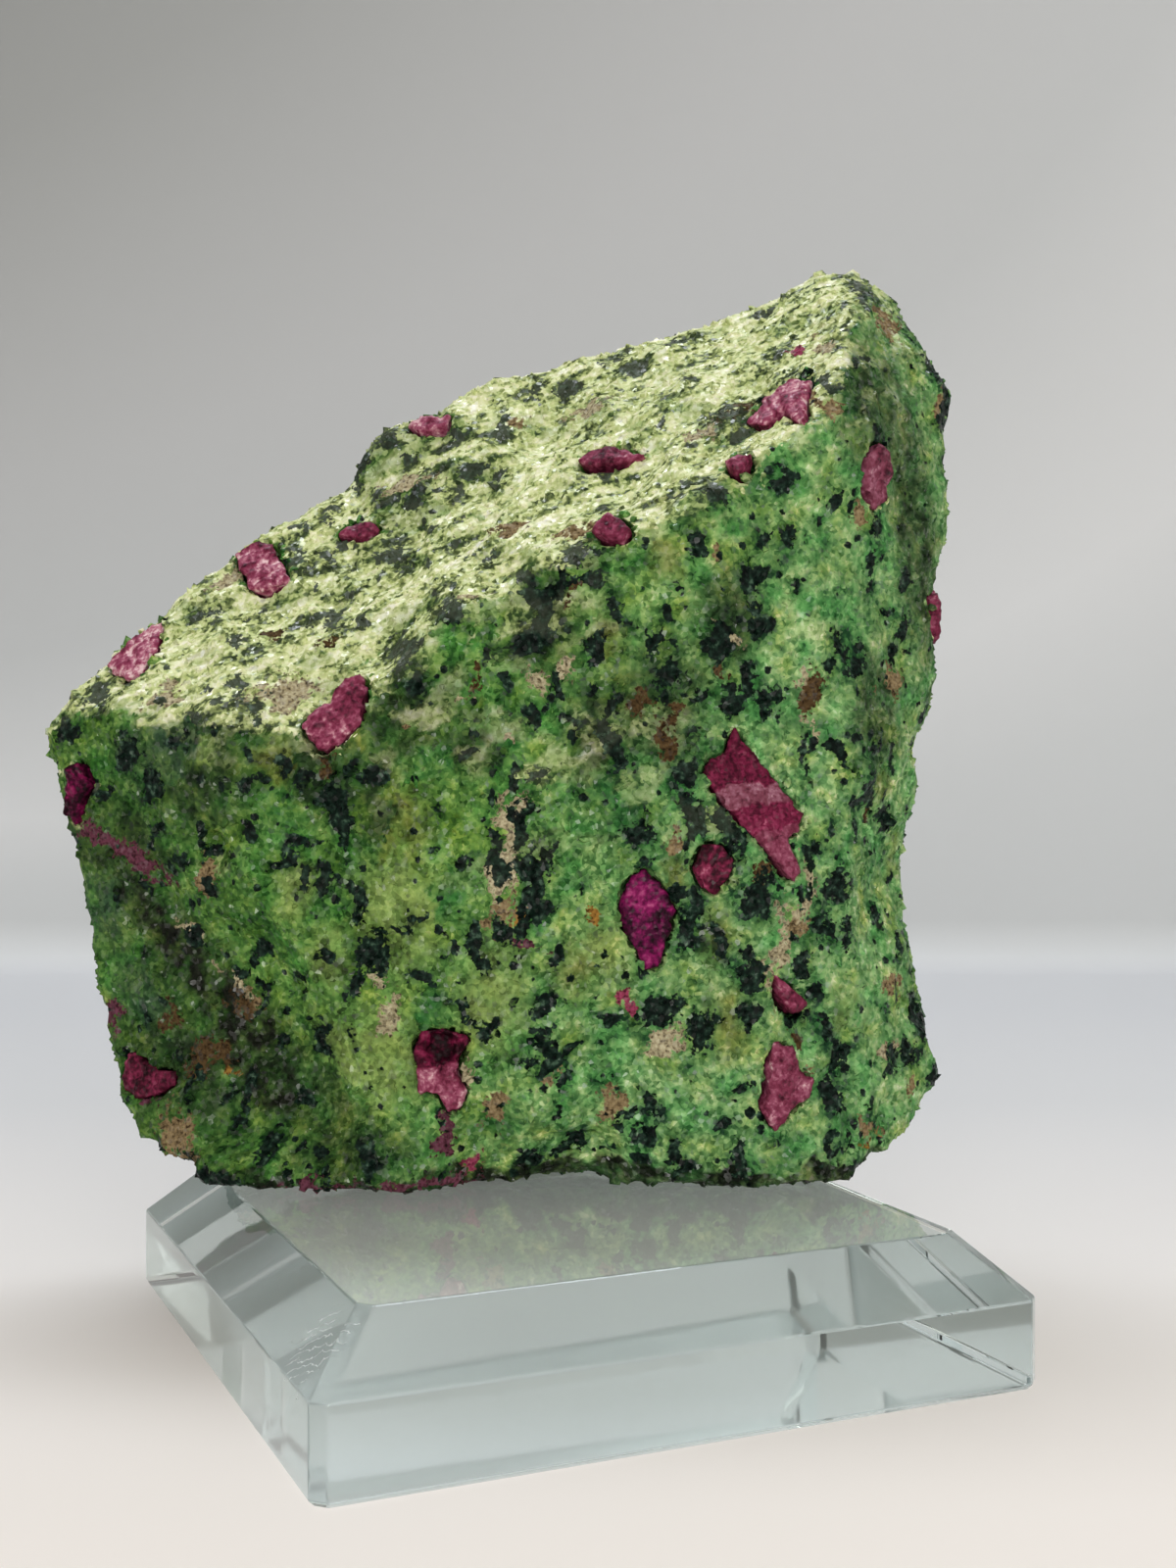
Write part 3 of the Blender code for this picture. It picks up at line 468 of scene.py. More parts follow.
# %% Stains of the zoisite itself and painted shade, in mm: a colour, how strong, and soft ovals
STAINS_AND_SHADE = {
    "emerald": ("#2a7a3a", 0.65, [
        (-15.5, 85, 4.6, 3.4, 90), (-19, 84.5, 4.0, 2.0, 0), (-17.5, 47.5, 2.6, 2.2, 0),
        (-16, 63, 4.0, 3.2, 0), (10, 80, 8.0, 6.0, 0), (-8, 88, 5.0, 3.5, 0),
        (37.5, 57, 2.6, 1.6, 0), (34, 25, 3.6, 2.6, 60),
        (6.6, 83, 4.0, 3.0, 0), (-40, 76, 4.0, 3.6, 0), (30, 126, 4.0, 2.5, 0),
        (37, 90, 3.5, 3.0, 0), (-9, 30, 4.0, 2.2, 80), (50, 137, 5.0, 3.0, 0)]),
    "limonite": ("#857f35", 0.6, [
        (-26, 87, 8.0, 5.0, 60), (-23, 75, 7.0, 4.5, 0), (8, 101.5, 3.4, 2.2, 0),
        (13.5, 122, 3.4, 2.0, 90), (17, 113, 3.4, 2.4, 0), (-40, 84, 5.0, 3.0, 60),
        (26, 46, 5.0, 3.0, 0), (3.5, 53, 4.5, 3.5, 0), (-52, 40, 6.0, 3.0, 30),
        (51, 80.5, 2.4, 1.3, 0), (18, 66, 2.5, 2.0, 0), (24, 57, 4.0, 2.5, 0)]),
    "spring green": ("#9fb765", 0.7, [
        (-33, 54.5, 4.4, 2.3, 0), (43.5, 47, 3.2, 2.4, 0), (54, 68, 3.2, 1.4, 0),
        (8, 56, 5.0, 4.0, 0), (-38, 64, 4.0, 2.6, 0), (-52, 84, 6.0, 3.0, 0),
        (-22, 61, 9.0, 6.0, 0), (-27, 40, 7.0, 9.0, 0), (-9, 49, 8.0, 5.0, 0)]),
    # Painted shadow: a dark band down the shaded side of the gully at the lower left.
    "painted gully shadow": ("#20251a", 1.0, [
        (-53, 50, 33.0, 4.6, -43), (-45, 37, 13.0, 4.6, -47)]),
    "teal": ("#35513f", 0.8, [
        (-61, 42, 13.0, 5.0, -30), (-70, 62, 7.0, 4.0, 0), (-58, 86, 9.0, 6.0, 60)]),
    # Partly painted shade: the first ovals darken the lower left facet that faces away from the
    # light, and the last the right edge at the top; the rest darken the green where it is
    # darker.
    "dark green and painted shade": ("#253b20", 0.85, [
        (-46, 43, 27.0, 5.0, -54), (-57, 37, 13.0, 9.0, -54), (-65, 70, 8.0, 7.0, -30),
        (-52, 80, 9.0, 6.0, 70), (-30, 26, 9.0, 5.0, 90), (16, 92, 9.0, 7.0, 0),
        (-1, 104, 8.0, 5.0, 0), (-26, 79, 9.0, 3.0, 0), (26, 105, 7.0, 5.0, 0),
        (-48, 90, 7.0, 6.0, 90), (57, 122, 26.0, 4.0, -8), (-22, 90, 9.0, 6.0, 60),
        (-33, 84, 8.0, 6.0, 0), (6, 88, 8.0, 4.0, 0), (50, 92, 9.0, 4.0, 0),
        (-12, 86, 5.0, 4.0, 90), (50, 139, 12.0, 7.0, -15)]),
}
print("patches:", {name: len(ovals) for name, (_, ovals) in CRUST.items()},
      "stains:", {name: len(ovals) for name, (_, _, ovals) in STAINS_AND_SHADE.items()})


# %% [markdown]
# ## Marks on a mesh
#
# The marks are wanted on two meshes, the skin and the grains that lie on it, and both must
# agree. So one function measures them for any points: how deep each point is in a clot, how
# deep in a weathered patch, how bleached and painted lit, and which stain or painted shade it
# has. Only distances are stored.
# The finish draws the edges from them, and so the edges are crisper than the mesh. Round the
# back, where the lists say nothing, a seeded random draw places marks of the same kinds.

# %% Distances to the marks
MARK_FRAY, FRAY_SIZE = 2.2, 3.2  # mm, how far the marks' outlines wander, and over what
FAR_OFF = 9.0                    # a depth well outside every mark
HIDDEN_CLOTS, HIDDEN_PATCHES, HIDDEN_STAINS_AND_SHADE = 300, 70, 60
STRAY_CLOTS = 400                # small ones, too many to list, all over the rock
rng = np.random.default_rng(29)


def oval_depth(across, height, ovals):
    """Below 1 inside an oval, above 1 outside all of them."""
    best = np.full(len(across), FAR_OFF)
    for u, z, length, width, lean in ovals:
        lean = math.radians(lean)
        along = (across - u) * math.sin(lean) + (height - z) * math.cos(lean)
        aside = (across - u) * math.cos(lean) - (height - z) * math.sin(lean)
        best = np.minimum(best, np.hypot(along / length, aside / width))
    return best


def ball_depth(places, balls):
    """The same for drawn-out balls in space: (middle, radius, stretch)."""
    best = np.full(len(places), FAR_OFF)
    for middle, radius, stretch in balls:
        gap = (places - middle) / MM * stretch
        best = np.minimum(best, np.sqrt((gap * gap).sum(axis=1)) / radius)
    return best


def random_balls(places, count, least, most):
    """Drawn-out balls with random middles on the surface, radii in mm."""
    return [(places[i], rng.uniform(least, most),
             1.0 + rng.uniform(0, 1.3) * np.array([0.3, 0.3, -0.4]))
            for i in rng.integers(0, len(places), count)]


def noise_at(spots, size, shift):
    """Smooth noise from about -0.6 to 0.6 at each spot, with features of some mm."""
    return np.array([noise.noise(Vector(p) / (size * MM) + Vector((shift, 0, 0)))
                     for p in spots])


def coordinates(mesh):
    """A mesh's corners as an array."""
    flat = np.empty(len(mesh.vertices) * 3)
    mesh.vertices.foreach_get("co", flat)
    return flat.reshape(-1, 3)


surface = coordinates(skin.data)
behind = surface[surface @ DEPTH > np.median(surface @ DEPTH)]
hidden_clots = random_balls(behind, HIDDEN_CLOTS, 0.8, 2.9)
stray_clots = random_balls(surface, STRAY_CLOTS, 0.55, 1.25)
hidden_patches = [(name, random_balls(behind, HIDDEN_PATCHES // len(CRUST), 1.0, 2.6))
                  for name in CRUST]
hidden_stains_and_shade = [(name, random_balls(behind, HIDDEN_STAINS_AND_SHADE // len(STAINS_AND_SHADE), 4.0, 9.0))
                 for name in STAINS_AND_SHADE]
print("marks out of sight:", len(hidden_clots), "clots")

# %% The marks of any points
LIT_AND_BLEACHED = 0.92                  # how much paler a level face is painted, bleached and lit, from 0 to 1
PALE_TOP_FROM, PALE_TOP_FADE = 62.0, 14.0    # mm, no ledge under this height is painted paler
SHADE_PAINTED_UNDER, FOOT_FADE = 24.0, 3.5      # mm, the height under which the rock is painted darker: painted shade at its foot
FOOT_PAINTED_SHADE = ("#1d2718", 0.8)            # the painted shade's colour, and how strong


def measure_marks(places, facings):
    """Clot depth, patch depth, bleaching with painted light, patch colour, and stain with
    painted shade of points on the rock.
    """
    fray_across, fray_up = (noise_at(places, FRAY_SIZE, shift)[:, None]
                            for shift in (5.0, 55.0))
    places = places + MARK_FRAY * MM * (fray_across * ACROSS + fray_up * np.array((0, 0, 1)))
    across, height = places @ ACROSS / MM, places[:, 2] / MM
    front = facings @ DEPTH + 0.02 * (places - np.median(surface, axis=0)) @ DEPTH / MM < 0.3

    def depth(ovals, balls):
        return np.where(front, oval_depth(across, height, ovals), ball_depth(places, balls))

    clot = np.minimum(depth(HORNBLENDE, hidden_clots), ball_depth(places, stray_clots))
    patch, patch_colour = np.full(len(places), FAR_OFF), np.zeros((len(places), 4))
    for (name, (colour, ovals)), (_, balls) in zip(CRUST.items(), hidden_patches):
        here = depth(ovals, balls)
        patch_colour[here < patch] = paint(colour)
        patch = np.minimum(patch, here)
    stain_and_shade = np.zeros((len(places), 4))
    for (name, (colour, strength, ovals)), (_, balls) in zip(STAINS_AND_SHADE.items(), hidden_stains_and_shade):
        share = np.clip(1.5 - depth(ovals, balls), 0, 1) * strength
        deeper = share > stain_and_shade[:, 3]
        stain_and_shade[deeper] = np.array(paint(colour))
        stain_and_shade[deeper, 3] = share[deeper]
    # Painted shade: the lowest few millimetres, next to the glass, are darkened.
    low = np.clip((SHADE_PAINTED_UNDER - height) / FOOT_FADE, 0, 1) * FOOT_PAINTED_SHADE[1]
    stain_and_shade[low > stain_and_shade[:, 3]] = np.array(paint(FOOT_PAINTED_SHADE[0]))
    stain_and_shade[:, 3] = np.maximum(np.minimum(stain_and_shade[:, 3], 1.0), low)
    # Partly painted light: faces that look up, above a height, are painted paler, as bleached
    # and as lit by the window above.
    level = facings[:, 2] - 0.5 * np.maximum(facings @ ACROSS, 0)
    bleach_and_light = LIT_AND_BLEACHED * np.clip((level - 0.1) / 0.5, 0, 1)
    bleach_and_light *= np.clip((height - PALE_TOP_FROM) / PALE_TOP_FADE, 0, 1)
    return clot, patch, bleach_and_light, patch_colour, stain_and_shade


def store_marks(mesh, marks, chance):
    """Write the marks on a mesh's corners for its finish to read."""
    clot, patch, bleach_and_light, patch_colour, stain_and_shade = marks
    depths = mesh.attributes.new("depths", "FLOAT_VECTOR", "POINT")
    depths.data.foreach_set("vector", np.stack([clot, patch, bleach_and_light], axis=1).ravel())
    for name, colour in (("patch", patch_colour), ("stain_and_shade", stain_and_shade)):
        mesh.color_attributes.new(name, "FLOAT_COLOR", "POINT")
        mesh.color_attributes[name].data.foreach_set("color", colour.ravel())
    mesh.attributes.new("chance", "FLOAT", "POINT")
    mesh.attributes["chance"].data.foreach_set("value", chance)


lump_tree = BVHTree.FromPolygons([vertex.co for vertex in nodes["zoisite_lump"].data.vertices],
                                 [list(polygon.vertices)
                                  for polygon in nodes["zoisite_lump"].data.polygons])
facing = np.array([lump_tree.find_nearest(Vector(place))[1] for place in surface])
store_marks(skin.data, measure_marks(surface, facing), np.full(len(surface), 0.5))
print("share of the skin in clots:",
      round(float((measure_marks(surface, facing)[0] < 1).mean()), 3))


# %% [markdown]
# ## Spreading the grains
#
# The grains have to lie close and even, yet in no pattern. Blender's Distribute Points on
# Faces does that with its Poisson method: points land at random, but never closer than a
# given distance. The node tree runs on a copy of the skin and leaves only the points, each
# with the way that the surface faces there. Points inside a ruby are dropped again.

# %% Even random places
GRAIN_SPACING = 1.15             # mm between the middles of two grains, at least
RUBY_LAPPED = 0.85               # mm that grains may lie over a crystal's rim
ruby_names = sorted(name for name in nodes if name.startswith("ruby_"))


def scatter(surface, spacing, seed):
    """Places and facings of even random points on a surface, spacing in mm."""
    tree = bpy.data.node_groups.new("scatter_points", "GeometryNodeTree")
    for way in ("INPUT", "OUTPUT"):
        tree.interface.new_socket("Geometry", in_out=way, socket_type="NodeSocketGeometry")
    given = add(tree, "NodeGroupInput")
    spread = add(tree, "DistributePointsOnFaces", {
        "Mesh": given.outputs[0], "Distance Min": spacing * MM, "Density Max": 1.0e7,
        "Seed": seed}, distribute_method="POISSON")
    kept = add(tree, "StoreNamedAttribute", {
        "Geometry": spread.outputs["Points"], "Name": "facing",
        "Value": spread.outputs["Normal"]}, data_type="FLOAT_VECTOR", domain="POINT")
    loose = add(tree, "PointsToVertices", {"Points": kept.outputs["Geometry"]})
    add(tree, "NodeGroupOutput", {0: loose.outputs["Mesh"]})
    cloud = bpy.data.objects.new("grain_places", surface.data.copy())
    bpy.context.scene.collection.objects.link(cloud)
    apply(cloud, "NODES", node_group=tree)
    places = coordinates(cloud.data)
    facings = np.empty(len(places) * 3)
    cloud.data.attributes["facing"].data.foreach_get("vector", facings)
    bpy.data.objects.remove(cloud)
    return places, facings.reshape(-1, 3)


def solid_tree(names):
    """One search tree of several solids."""
    corners, faces = [], []
    for name in names:
        first = len(corners)
        mesh = nodes[name].data
        corners += [vertex.co.copy() for vertex in mesh.vertices]
        faces += [[first + i for i in polygon.vertices] for polygon in mesh.polygons]
    return BVHTree.FromPolygons(corners, faces)


def outside(tree, places, lap):
    """Which places lie outside the solids, or no deeper in them than some mm."""
    clear = np.zeros(len(places), bool)
    for i, place in enumerate(places):
        near, normal, _, away = tree.find_nearest(Vector(place))
        beyond = away > 4 * MM or (Vector(place) - near).dot(normal) > 0
        clear[i] = beyond or away < lap * MM
    return clear


places, facings = scatter(skin, GRAIN_SPACING, 7)
clear = outside(solid_tree(ruby_names), places, RUBY_LAPPED)
places, facings = places[clear], facings[clear]
marks = measure_marks(places, np.array([lump_tree.find_nearest(Vector(p))[1]
                                        for p in places]))
in_clot = marks[0] < 1.0
chance = rng.random(len(places))
print("grains:", len(places), "in clots:", int(in_clot.sum()))


# %% [markdown]
# ## The shape of a grain
#
# A grain is a small lump with a dozen corners and flat broken faces. It starts as the
# coarsest ico sphere, and each corner is pushed about at random in edit mode. Eight such
# shapes are enough, since every copy is turned and stretched its own way. The grains are
# grown together in the rock, so more than half of each is sunk into it and only a low hump
# of a few flat faces stands out.

# %% Eight grain shapes
SHAPES = 8


def grain_shape(seed):
    """Corners and faces of one broken grain of radius 1."""
    bpy.ops.object.select_all(action="DESELECT")
    bpy.ops.mesh.primitive_ico_sphere_add(subdivisions=1, radius=1.0)
    grain = bpy.context.object
    edit(grain)
    bpy.ops.transform.vertex_random(offset=0.24, uniform=0.8, normal=0.3, seed=seed)
    leave_edit()
    corners = coordinates(grain.data)
    faces = np.array([polygon.vertices for polygon in grain.data.polygons])
    bpy.data.objects.remove(grain)
    return corners, faces


shapes = [grain_shape(seed) for seed in range(SHAPES)]
SHAPE_CORNERS = np.array([corners for corners, _ in shapes])
SHAPE_FACES = shapes[0][1]
print("corners and faces of a grain:", len(SHAPE_CORNERS[0]), len(SHAPE_FACES))

# %% Copies in one mesh
GLASS_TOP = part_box("glass_block")[1].z


def random_turns(count):
    """Rotation matrices that turn any way, from random quaternions."""
    w, x, y, z = (q := rng.normal(size=(count, 4))).T / np.linalg.norm(q, axis=1)
    return np.array([
        [1 - 2 * (y * y + z * z), 2 * (x * y - z * w), 2 * (x * z + y * w)],
        [2 * (x * y + z * w), 1 - 2 * (x * x + z * z), 2 * (y * z - x * w)],
        [2 * (x * z - y * w), 2 * (y * z + x * w), 1 - 2 * (x * x + y * y)],
    ]).transpose(2, 0, 1)


def picture_cells(mesh, faces):
    """A UV map that gives every triangle a cell of its own, so that its colour bakes clean."""
    side = math.ceil(math.sqrt(faces))
    cell = np.arange(faces)
    corner = np.stack([cell % side, cell // side], axis=1)[:, None, :]
    triangle = np.array([(0.15, 0.15), (0.85, 0.15), (0.15, 0.85)])[None]
    uv = mesh.uv_layers.new(name="OFBake")
    uv.data.foreach_set("uv", ((corner + triangle) / side).ravel())


def grain_piece(name, chosen, radius, spread, stretch, sunk):
    """Many grains in one mesh: radius in mm, its spread, how drawn out, share sunk."""
    count = len(chosen)
    radii = np.clip(radius * np.exp(rng.normal(0, spread, count)), 0.6 * radius, 1.7 * radius)
    drawn = np.exp(rng.normal(0, 0.18, (count, 3))) * np.array(stretch)
    corners = SHAPE_CORNERS[rng.integers(0, SHAPES, count)] * drawn[:, None, :]
    corners = np.einsum("gij,gcj->gci", random_turns(count), corners)
    corners *= (radii * MM)[:, None, None]
    middles = places[chosen] - facings[chosen] * (radii * MM * sunk)[:, None]
    points = (corners + middles[:, None, :]).reshape(-1, 3)
    points[:, 2] = np.maximum(points[:, 2], GLASS_TOP + 0.05 * MM)
    per_grain = len(SHAPE_CORNERS[0])
    firsts = (np.arange(count) * per_grain)[:, None, None]
    faces = (SHAPE_FACES[None] + firsts).reshape(-1, 3)
    mesh = bpy.data.meshes.new(name)
    mesh.from_pydata(points, [], faces)
    each = np.repeat(chosen, per_grain)
    store_marks(mesh, [mark[each] for mark in marks], chance[each])
    picture_cells(mesh, len(faces))
    piece = bpy.data.objects.new(name, mesh)
    bpy.context.scene.collection.objects.link(piece)
    print(name, count, "grains,", len(faces), "triangles")
    return piece


# %% [markdown]
# ## The finish of the rock
#
# Broken zoisite is sugary: thousands of small cleavage faces, each tilted its own way, so
# each is a little lighter or darker and here and there one flashes. A Voronoi pattern has
# just such cells, and the random colour of a cell serves as its tilt, its tone and its gloss.
# The green itself wanders at 10 mm, 3 mm and 1 mm, as the chromium and vanadium in it do.
# The level faces on top are painted paler, partly bleached and partly painted light from the
# window above, and their colour runs in streaks along the rock's grain.

# %% Noise as an offset
def wander(tree, place, size, least, most, detail=2.0):
    """Noise with features of some mm, as a number from least to most."""
    cloud = add(tree, "TexNoise", {"Vector": place, "Scale": per_mm(size), "Detail": detail})
    return add(tree, "MapRange", {
        "Value": cloud.outputs["Fac"], "From Min": 0.3, "From Max": 0.7,
        "To Min": least, "To Max": most}).outputs["Result"]


def total(tree, *numbers):
    """The sum of several numbers or outputs."""
    result = numbers[0]
    for number in numbers[1:]:
        result = add(tree, "Math", {0: result, 1: number}, operation="ADD").outputs[0]
    return result


def step_down(tree, value, edge, soft):
    """1 where a value is under an edge, 0 over it, with a soft border."""
    return add(tree, "MapRange", {
        "Value": value, "From Min": edge - soft, "From Max": edge + soft,
        "To Min": 1.0, "To Max": 0.0}).outputs["Result"]


def blend(tree, share, under, over, mode="MIX"):
    """One colour laid over another by a share."""
    mixed = add(tree, "Mix", {0: share, 6: under, 7: over}, data_type="RGBA",
                blend_type=mode)
    return mixed.outputs[2]


# %% Green zoisite
FACET = 0.68                     # mm across a cleavage face
STREAK_LEAN = math.radians(20)   # how steeply the grain of the rock rises across it
DRAWN_OUT = 0.72                 # how much the streaks are stretched along that line
GRAIN_LINE = ACROSS * math.cos(STREAK_LEAN) + np.array((0, 0, math.sin(STREAK_LEAN)))


def by_cell(tree, chances, channel, least, most, start=0.0):
    """A number that each cleavage face draws for itself."""
    return add(tree, "MapRange", {"Value": chances.outputs[channel], "From Min": start,
                                  "To Min": least, "To Max": most}).outputs["Result"]


def stored(tree, name):
    """The node that reads a stored mark."""
    return add(tree, "Attribute", attribute_name=name)


def grey_ramp(tree, amount, *stops):
    """A ramp of greys to multiply a colour with."""
    return add(tree, "ValToRGB", {"Fac": amount}, stops=list(stops)).outputs["Color"]


def streaks(tree, place):
    """Noise on a place squeezed along the grain of the rock, so that it is drawn out."""
    line = Vector(GRAIN_LINE)
    along = add(tree, "VectorMath", {0: place, 1: line}, operation="DOT_PRODUCT")
    pushed = add(tree, "VectorMath", {0: line * -DRAWN_OUT, "Scale": along.outputs["Value"]},
                 operation="SCALE")
    squeezed = add(tree, "VectorMath", {0: place, 1: pushed.outputs[0]}, operation="ADD")
    return wander(tree, squeezed.outputs[0], 2.2, -0.36, 0.28, 3.0)


def green_tone(tree, place, clot, chances):
    """How light the green is: by noise, by grain and by face, and darker near a clot."""
    grain = add(tree, "MapRange", {"Value": stored(tree, "chance").outputs["Fac"],
                                   "To Min": -0.12, "To Max": 0.12}).outputs["Result"]
    near = add(tree, "MapRange", {"Value": clot, "From Min": 1.0, "From Max": 2.3,
                                  "To Min": -0.26, "To Max": 0.0}).outputs["Result"]
    return total(tree, wander(tree, place, 10.0, 0.40, 0.62), grain, near,
                 wander(tree, place, 3.0, -0.18, 0.18), by_cell(tree, chances, 0, -0.2, 0.2),
                 wander(tree, place, 1.0, -0.15, 0.15))


def varied_green(tree, place, tone):
    """The green of a tone, duller and yellower to the left, and bluer or yellower by noise."""
    green = add(tree, "ValToRGB", {"Fac": tone}, stops=[
        (0.0, "#1b3d25"), (0.2, "#426d3d"), (0.42, "#669158"), (0.6, "#86ad6e"),
        (0.8, "#afcb8e"), (1.0, "#e8f1cc")]).outputs["Color"]
    reach = add(tree, "VectorMath", {0: place, 1: Vector(ACROSS) + Vector((0, 0, -0.4))},
                operation="DOT_PRODUCT").outputs["Value"]
    yellower = add(tree, "ValToRGB", {"Fac": add(tree, "MapRange", {
        "Value": reach, "From Min": -0.084, "From Max": 0.0}).outputs["Result"]}, stops=[
            (0.0, "#b0c294"), (0.5, "#ccdcae"), (1.0, "#ffffff")])
    green = blend(tree, 1.0, green, yellower.outputs["Color"], "MULTIPLY")
    hue = add(tree, "ValToRGB", {"Fac": wander(tree, place, 5.0, 0.0, 1.0, 3.0)}, stops=[
        (0.1, "#b2f0d2"), (0.5, "#ffffff"), (0.95, "#fff3bc")])
    return blend(tree, 0.8, green, hue.outputs["Color"], "MULTIPLY")


def stained_shaded_bleached_and_lit(tree, place, green, tone, bleach_and_light):
    """The green with its stains and painted shade, and pale on level faces: bleached and
    painted lit.
    """
    stain_and_shade = stored(tree, "stain_and_shade")
    toned = blend(tree, 1.0, stain_and_shade.outputs["Color"],
                  grey_ramp(tree, tone, (0.0, "#707070"), (1.0, "#ffffff")), "MULTIPLY")
    share = add(tree, "Math", {0: stain_and_shade.outputs["Alpha"],
                               1: wander(tree, place, 2.6, 0.55, 1.2)},
                operation="MULTIPLY", use_clamp=True)
    green = blend(tree, share.outputs[0], green, toned)
    pale = add(tree, "ValToRGB", {"Fac": total(tree, tone, streaks(tree, place), -0.02)},
               stops=[(0.0, "#38432c"), (0.2, "#7d8b56"), (0.36, "#c1ce8a"),
                      (0.58, "#e0e6b0"), (0.8, "#f4f4d0"), (1.0, "#fcfbec")])
    return blend(tree, bleach_and_light, green, pale.outputs["Color"])


# %% [markdown]
# Hornblende and the weathered patches are cut in where the stored depths, frayed by noise,
# fall below 1. Hornblende is black and glossy; weathered feldspar is pale, earthy and dull.
# A crisp border between minerals is what makes the rock read as grains and not as paint.

# %% Weathered feldspar and hornblende
THINNER = 0.26                   # how much thinner the clots are where the top is painted paler


def patches_over(tree, place, patch, green):
    """The rock with its weathered patches, and where they are."""
    near_patch = total(tree, patch, wander(tree, place, 1.8, -0.45, 0.45),
                       wander(tree, place, 0.6, -0.45, 0.45))
    in_patch = step_down(tree, near_patch, 1.0, 0.12)
    earth = blend(tree, 1.0, stored(tree, "patch").outputs["Color"],
                  grey_ramp(tree, wander(tree, place, 0.6, 0.0, 1.0, 3.0), (0.0, "#5c544c"),
                            (0.45, "#d6d0c8"), (1.0, "#ffffff")), "MULTIPLY")
    return blend(tree, in_patch, green, earth), in_patch


def hornblende_share(tree, place, clot, bleach_and_light, chances):
    """Where hornblende is: the clots, single grains round them, and specks everywhere."""
    thinner = add(tree, "Math", {0: bleach_and_light, 1: THINNER}, operation="MULTIPLY").outputs[0]
    near_clot = total(tree, clot, thinner, wander(tree, place, 1.6, -0.34, 0.34),
                      wander(tree, place, 0.6, -0.2, 0.2),
                      by_cell(tree, chances, 2, -0.14, 0.14))
    specks = add(tree, "TexVoronoi", {"Vector": place, "Scale": per_mm(2.2)})
    drawn = add(tree, "SeparateColor", {"Color": specks.outputs["Color"]})
    speck = total(tree, specks.outputs["Distance"], thinner,
                  wander(tree, place, 0.6, -0.08, 0.08),
                  wander(tree, place, 9.0, 0.12, -0.16), drawn.outputs[1])
    return add(tree, "Math", {0: step_down(tree, near_clot, 1.06, 0.05),
                              1: step_down(tree, speck, 0.3, 0.03)},
               operation="MAXIMUM").outputs[0]


def hornblende_colour(tree, place, bleach_and_light):
    """Black-green, and greyer on the slope: partly weathered, partly painted light."""
    black = add(tree, "ValToRGB", {"Fac": wander(tree, place, 1.1, 0.0, 1.0, 3.0)}, stops=[
        (0.0, "#030807"), (0.45, "#0c1a14"), (0.75, "#1c3026"), (1.0, "#47604e")])
    half = add(tree, "Math", {0: bleach_and_light, 1: 0.5}, operation="MULTIPLY").outputs[0]
    return blend(tree, half, black.outputs["Color"], paint("#66705c"))


# %% [markdown]
# One finish puts these layers together, for the skin and the grains alike. It also tilts the
# surface a little on each cleavage face and gives each its own gloss, which makes the flashes.

# %% Sugary rock
def facet_normal(tree, cells):
    """The surface's own direction, tilted at random on each cleavage face."""
    tilt = add(tree, "VectorMath", {0: cells.outputs["Color"], 1: (0.5, 0.5, 0.5)},
               operation="SUBTRACT")
    facing = add(tree, "NewGeometry").outputs["Normal"]
    tilted = add(tree, "VectorMath", {0: facing, 1: tilt.outputs[0]}, operation="ADD")
    return add(tree, "VectorMath", {0: tilted.outputs[0]}, operation="NORMALIZE").outputs[0]


def gloss(tree, chances, in_patch, in_clot, shader):
    """Each face's own gloss: earthy in the patches, even and shiny in the hornblende."""
    dull = add(tree, "Mix", {0: in_patch, 2: by_cell(tree, chances, 1, 0.16, 0.8), 3: 0.85})
    rough = add(tree, "Mix", {0: in_clot, 2: dull.outputs[0], 3: 0.3})
    tree.links.new(rough.outputs[0], shader.inputs["Roughness"])
    mirror = add(tree, "Mix", {0: in_clot, 2: by_cell(tree, chances, 2, 0.06, 0.7, 0.78),
                               3: by_cell(tree, chances, 2, 0.04, 0.35, 0.85)})
    tree.links.new(mirror.outputs[0], shader.inputs["Specular IOR Level"])


def sugary_rock():
    finish, tree, shader = material("zoisite_with_hornblende_broken", IOR=1.69)
    place = add(tree, "TexCoord").outputs["Object"]
    cells = add(tree, "TexVoronoi", {"Vector": place, "Scale": per_mm(FACET)})
    chances = add(tree, "SeparateColor", {"Color": cells.outputs["Color"]})
    depths = stored(tree, "depths").outputs["Vector"]
    clot, patch, bleach_and_light = add(tree, "SeparateXYZ", {"Vector": depths}).outputs
    tone = green_tone(tree, place, clot, chances)
    green = varied_green(tree, place, tone)
    green = stained_shaded_bleached_and_lit(tree, place, green, tone, bleach_and_light)
    rock, in_patch = patches_over(tree, place, patch, green)
    in_clot = hornblende_share(tree, place, clot, bleach_and_light, chances)
    rock = blend(tree, in_clot, rock, hornblende_colour(tree, place, bleach_and_light))
    tree.links.new(rock, shader.inputs["Base Color"])
    tree.links.new(facet_normal(tree, cells), shader.inputs["Normal"])
    gloss(tree, chances, in_patch, in_clot, shader)
    return finish


rock_finish = sugary_rock()
print("nodes in the rock's finish:", len(rock_finish.node_tree.nodes))


def dress_rock(piece):
    """Give a piece of the rock its finish and its place in the object."""
    piece.data.materials.append(rock_finish)
    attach(piece, "root")


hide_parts("zoisite_lump")
dress_rock(skin)

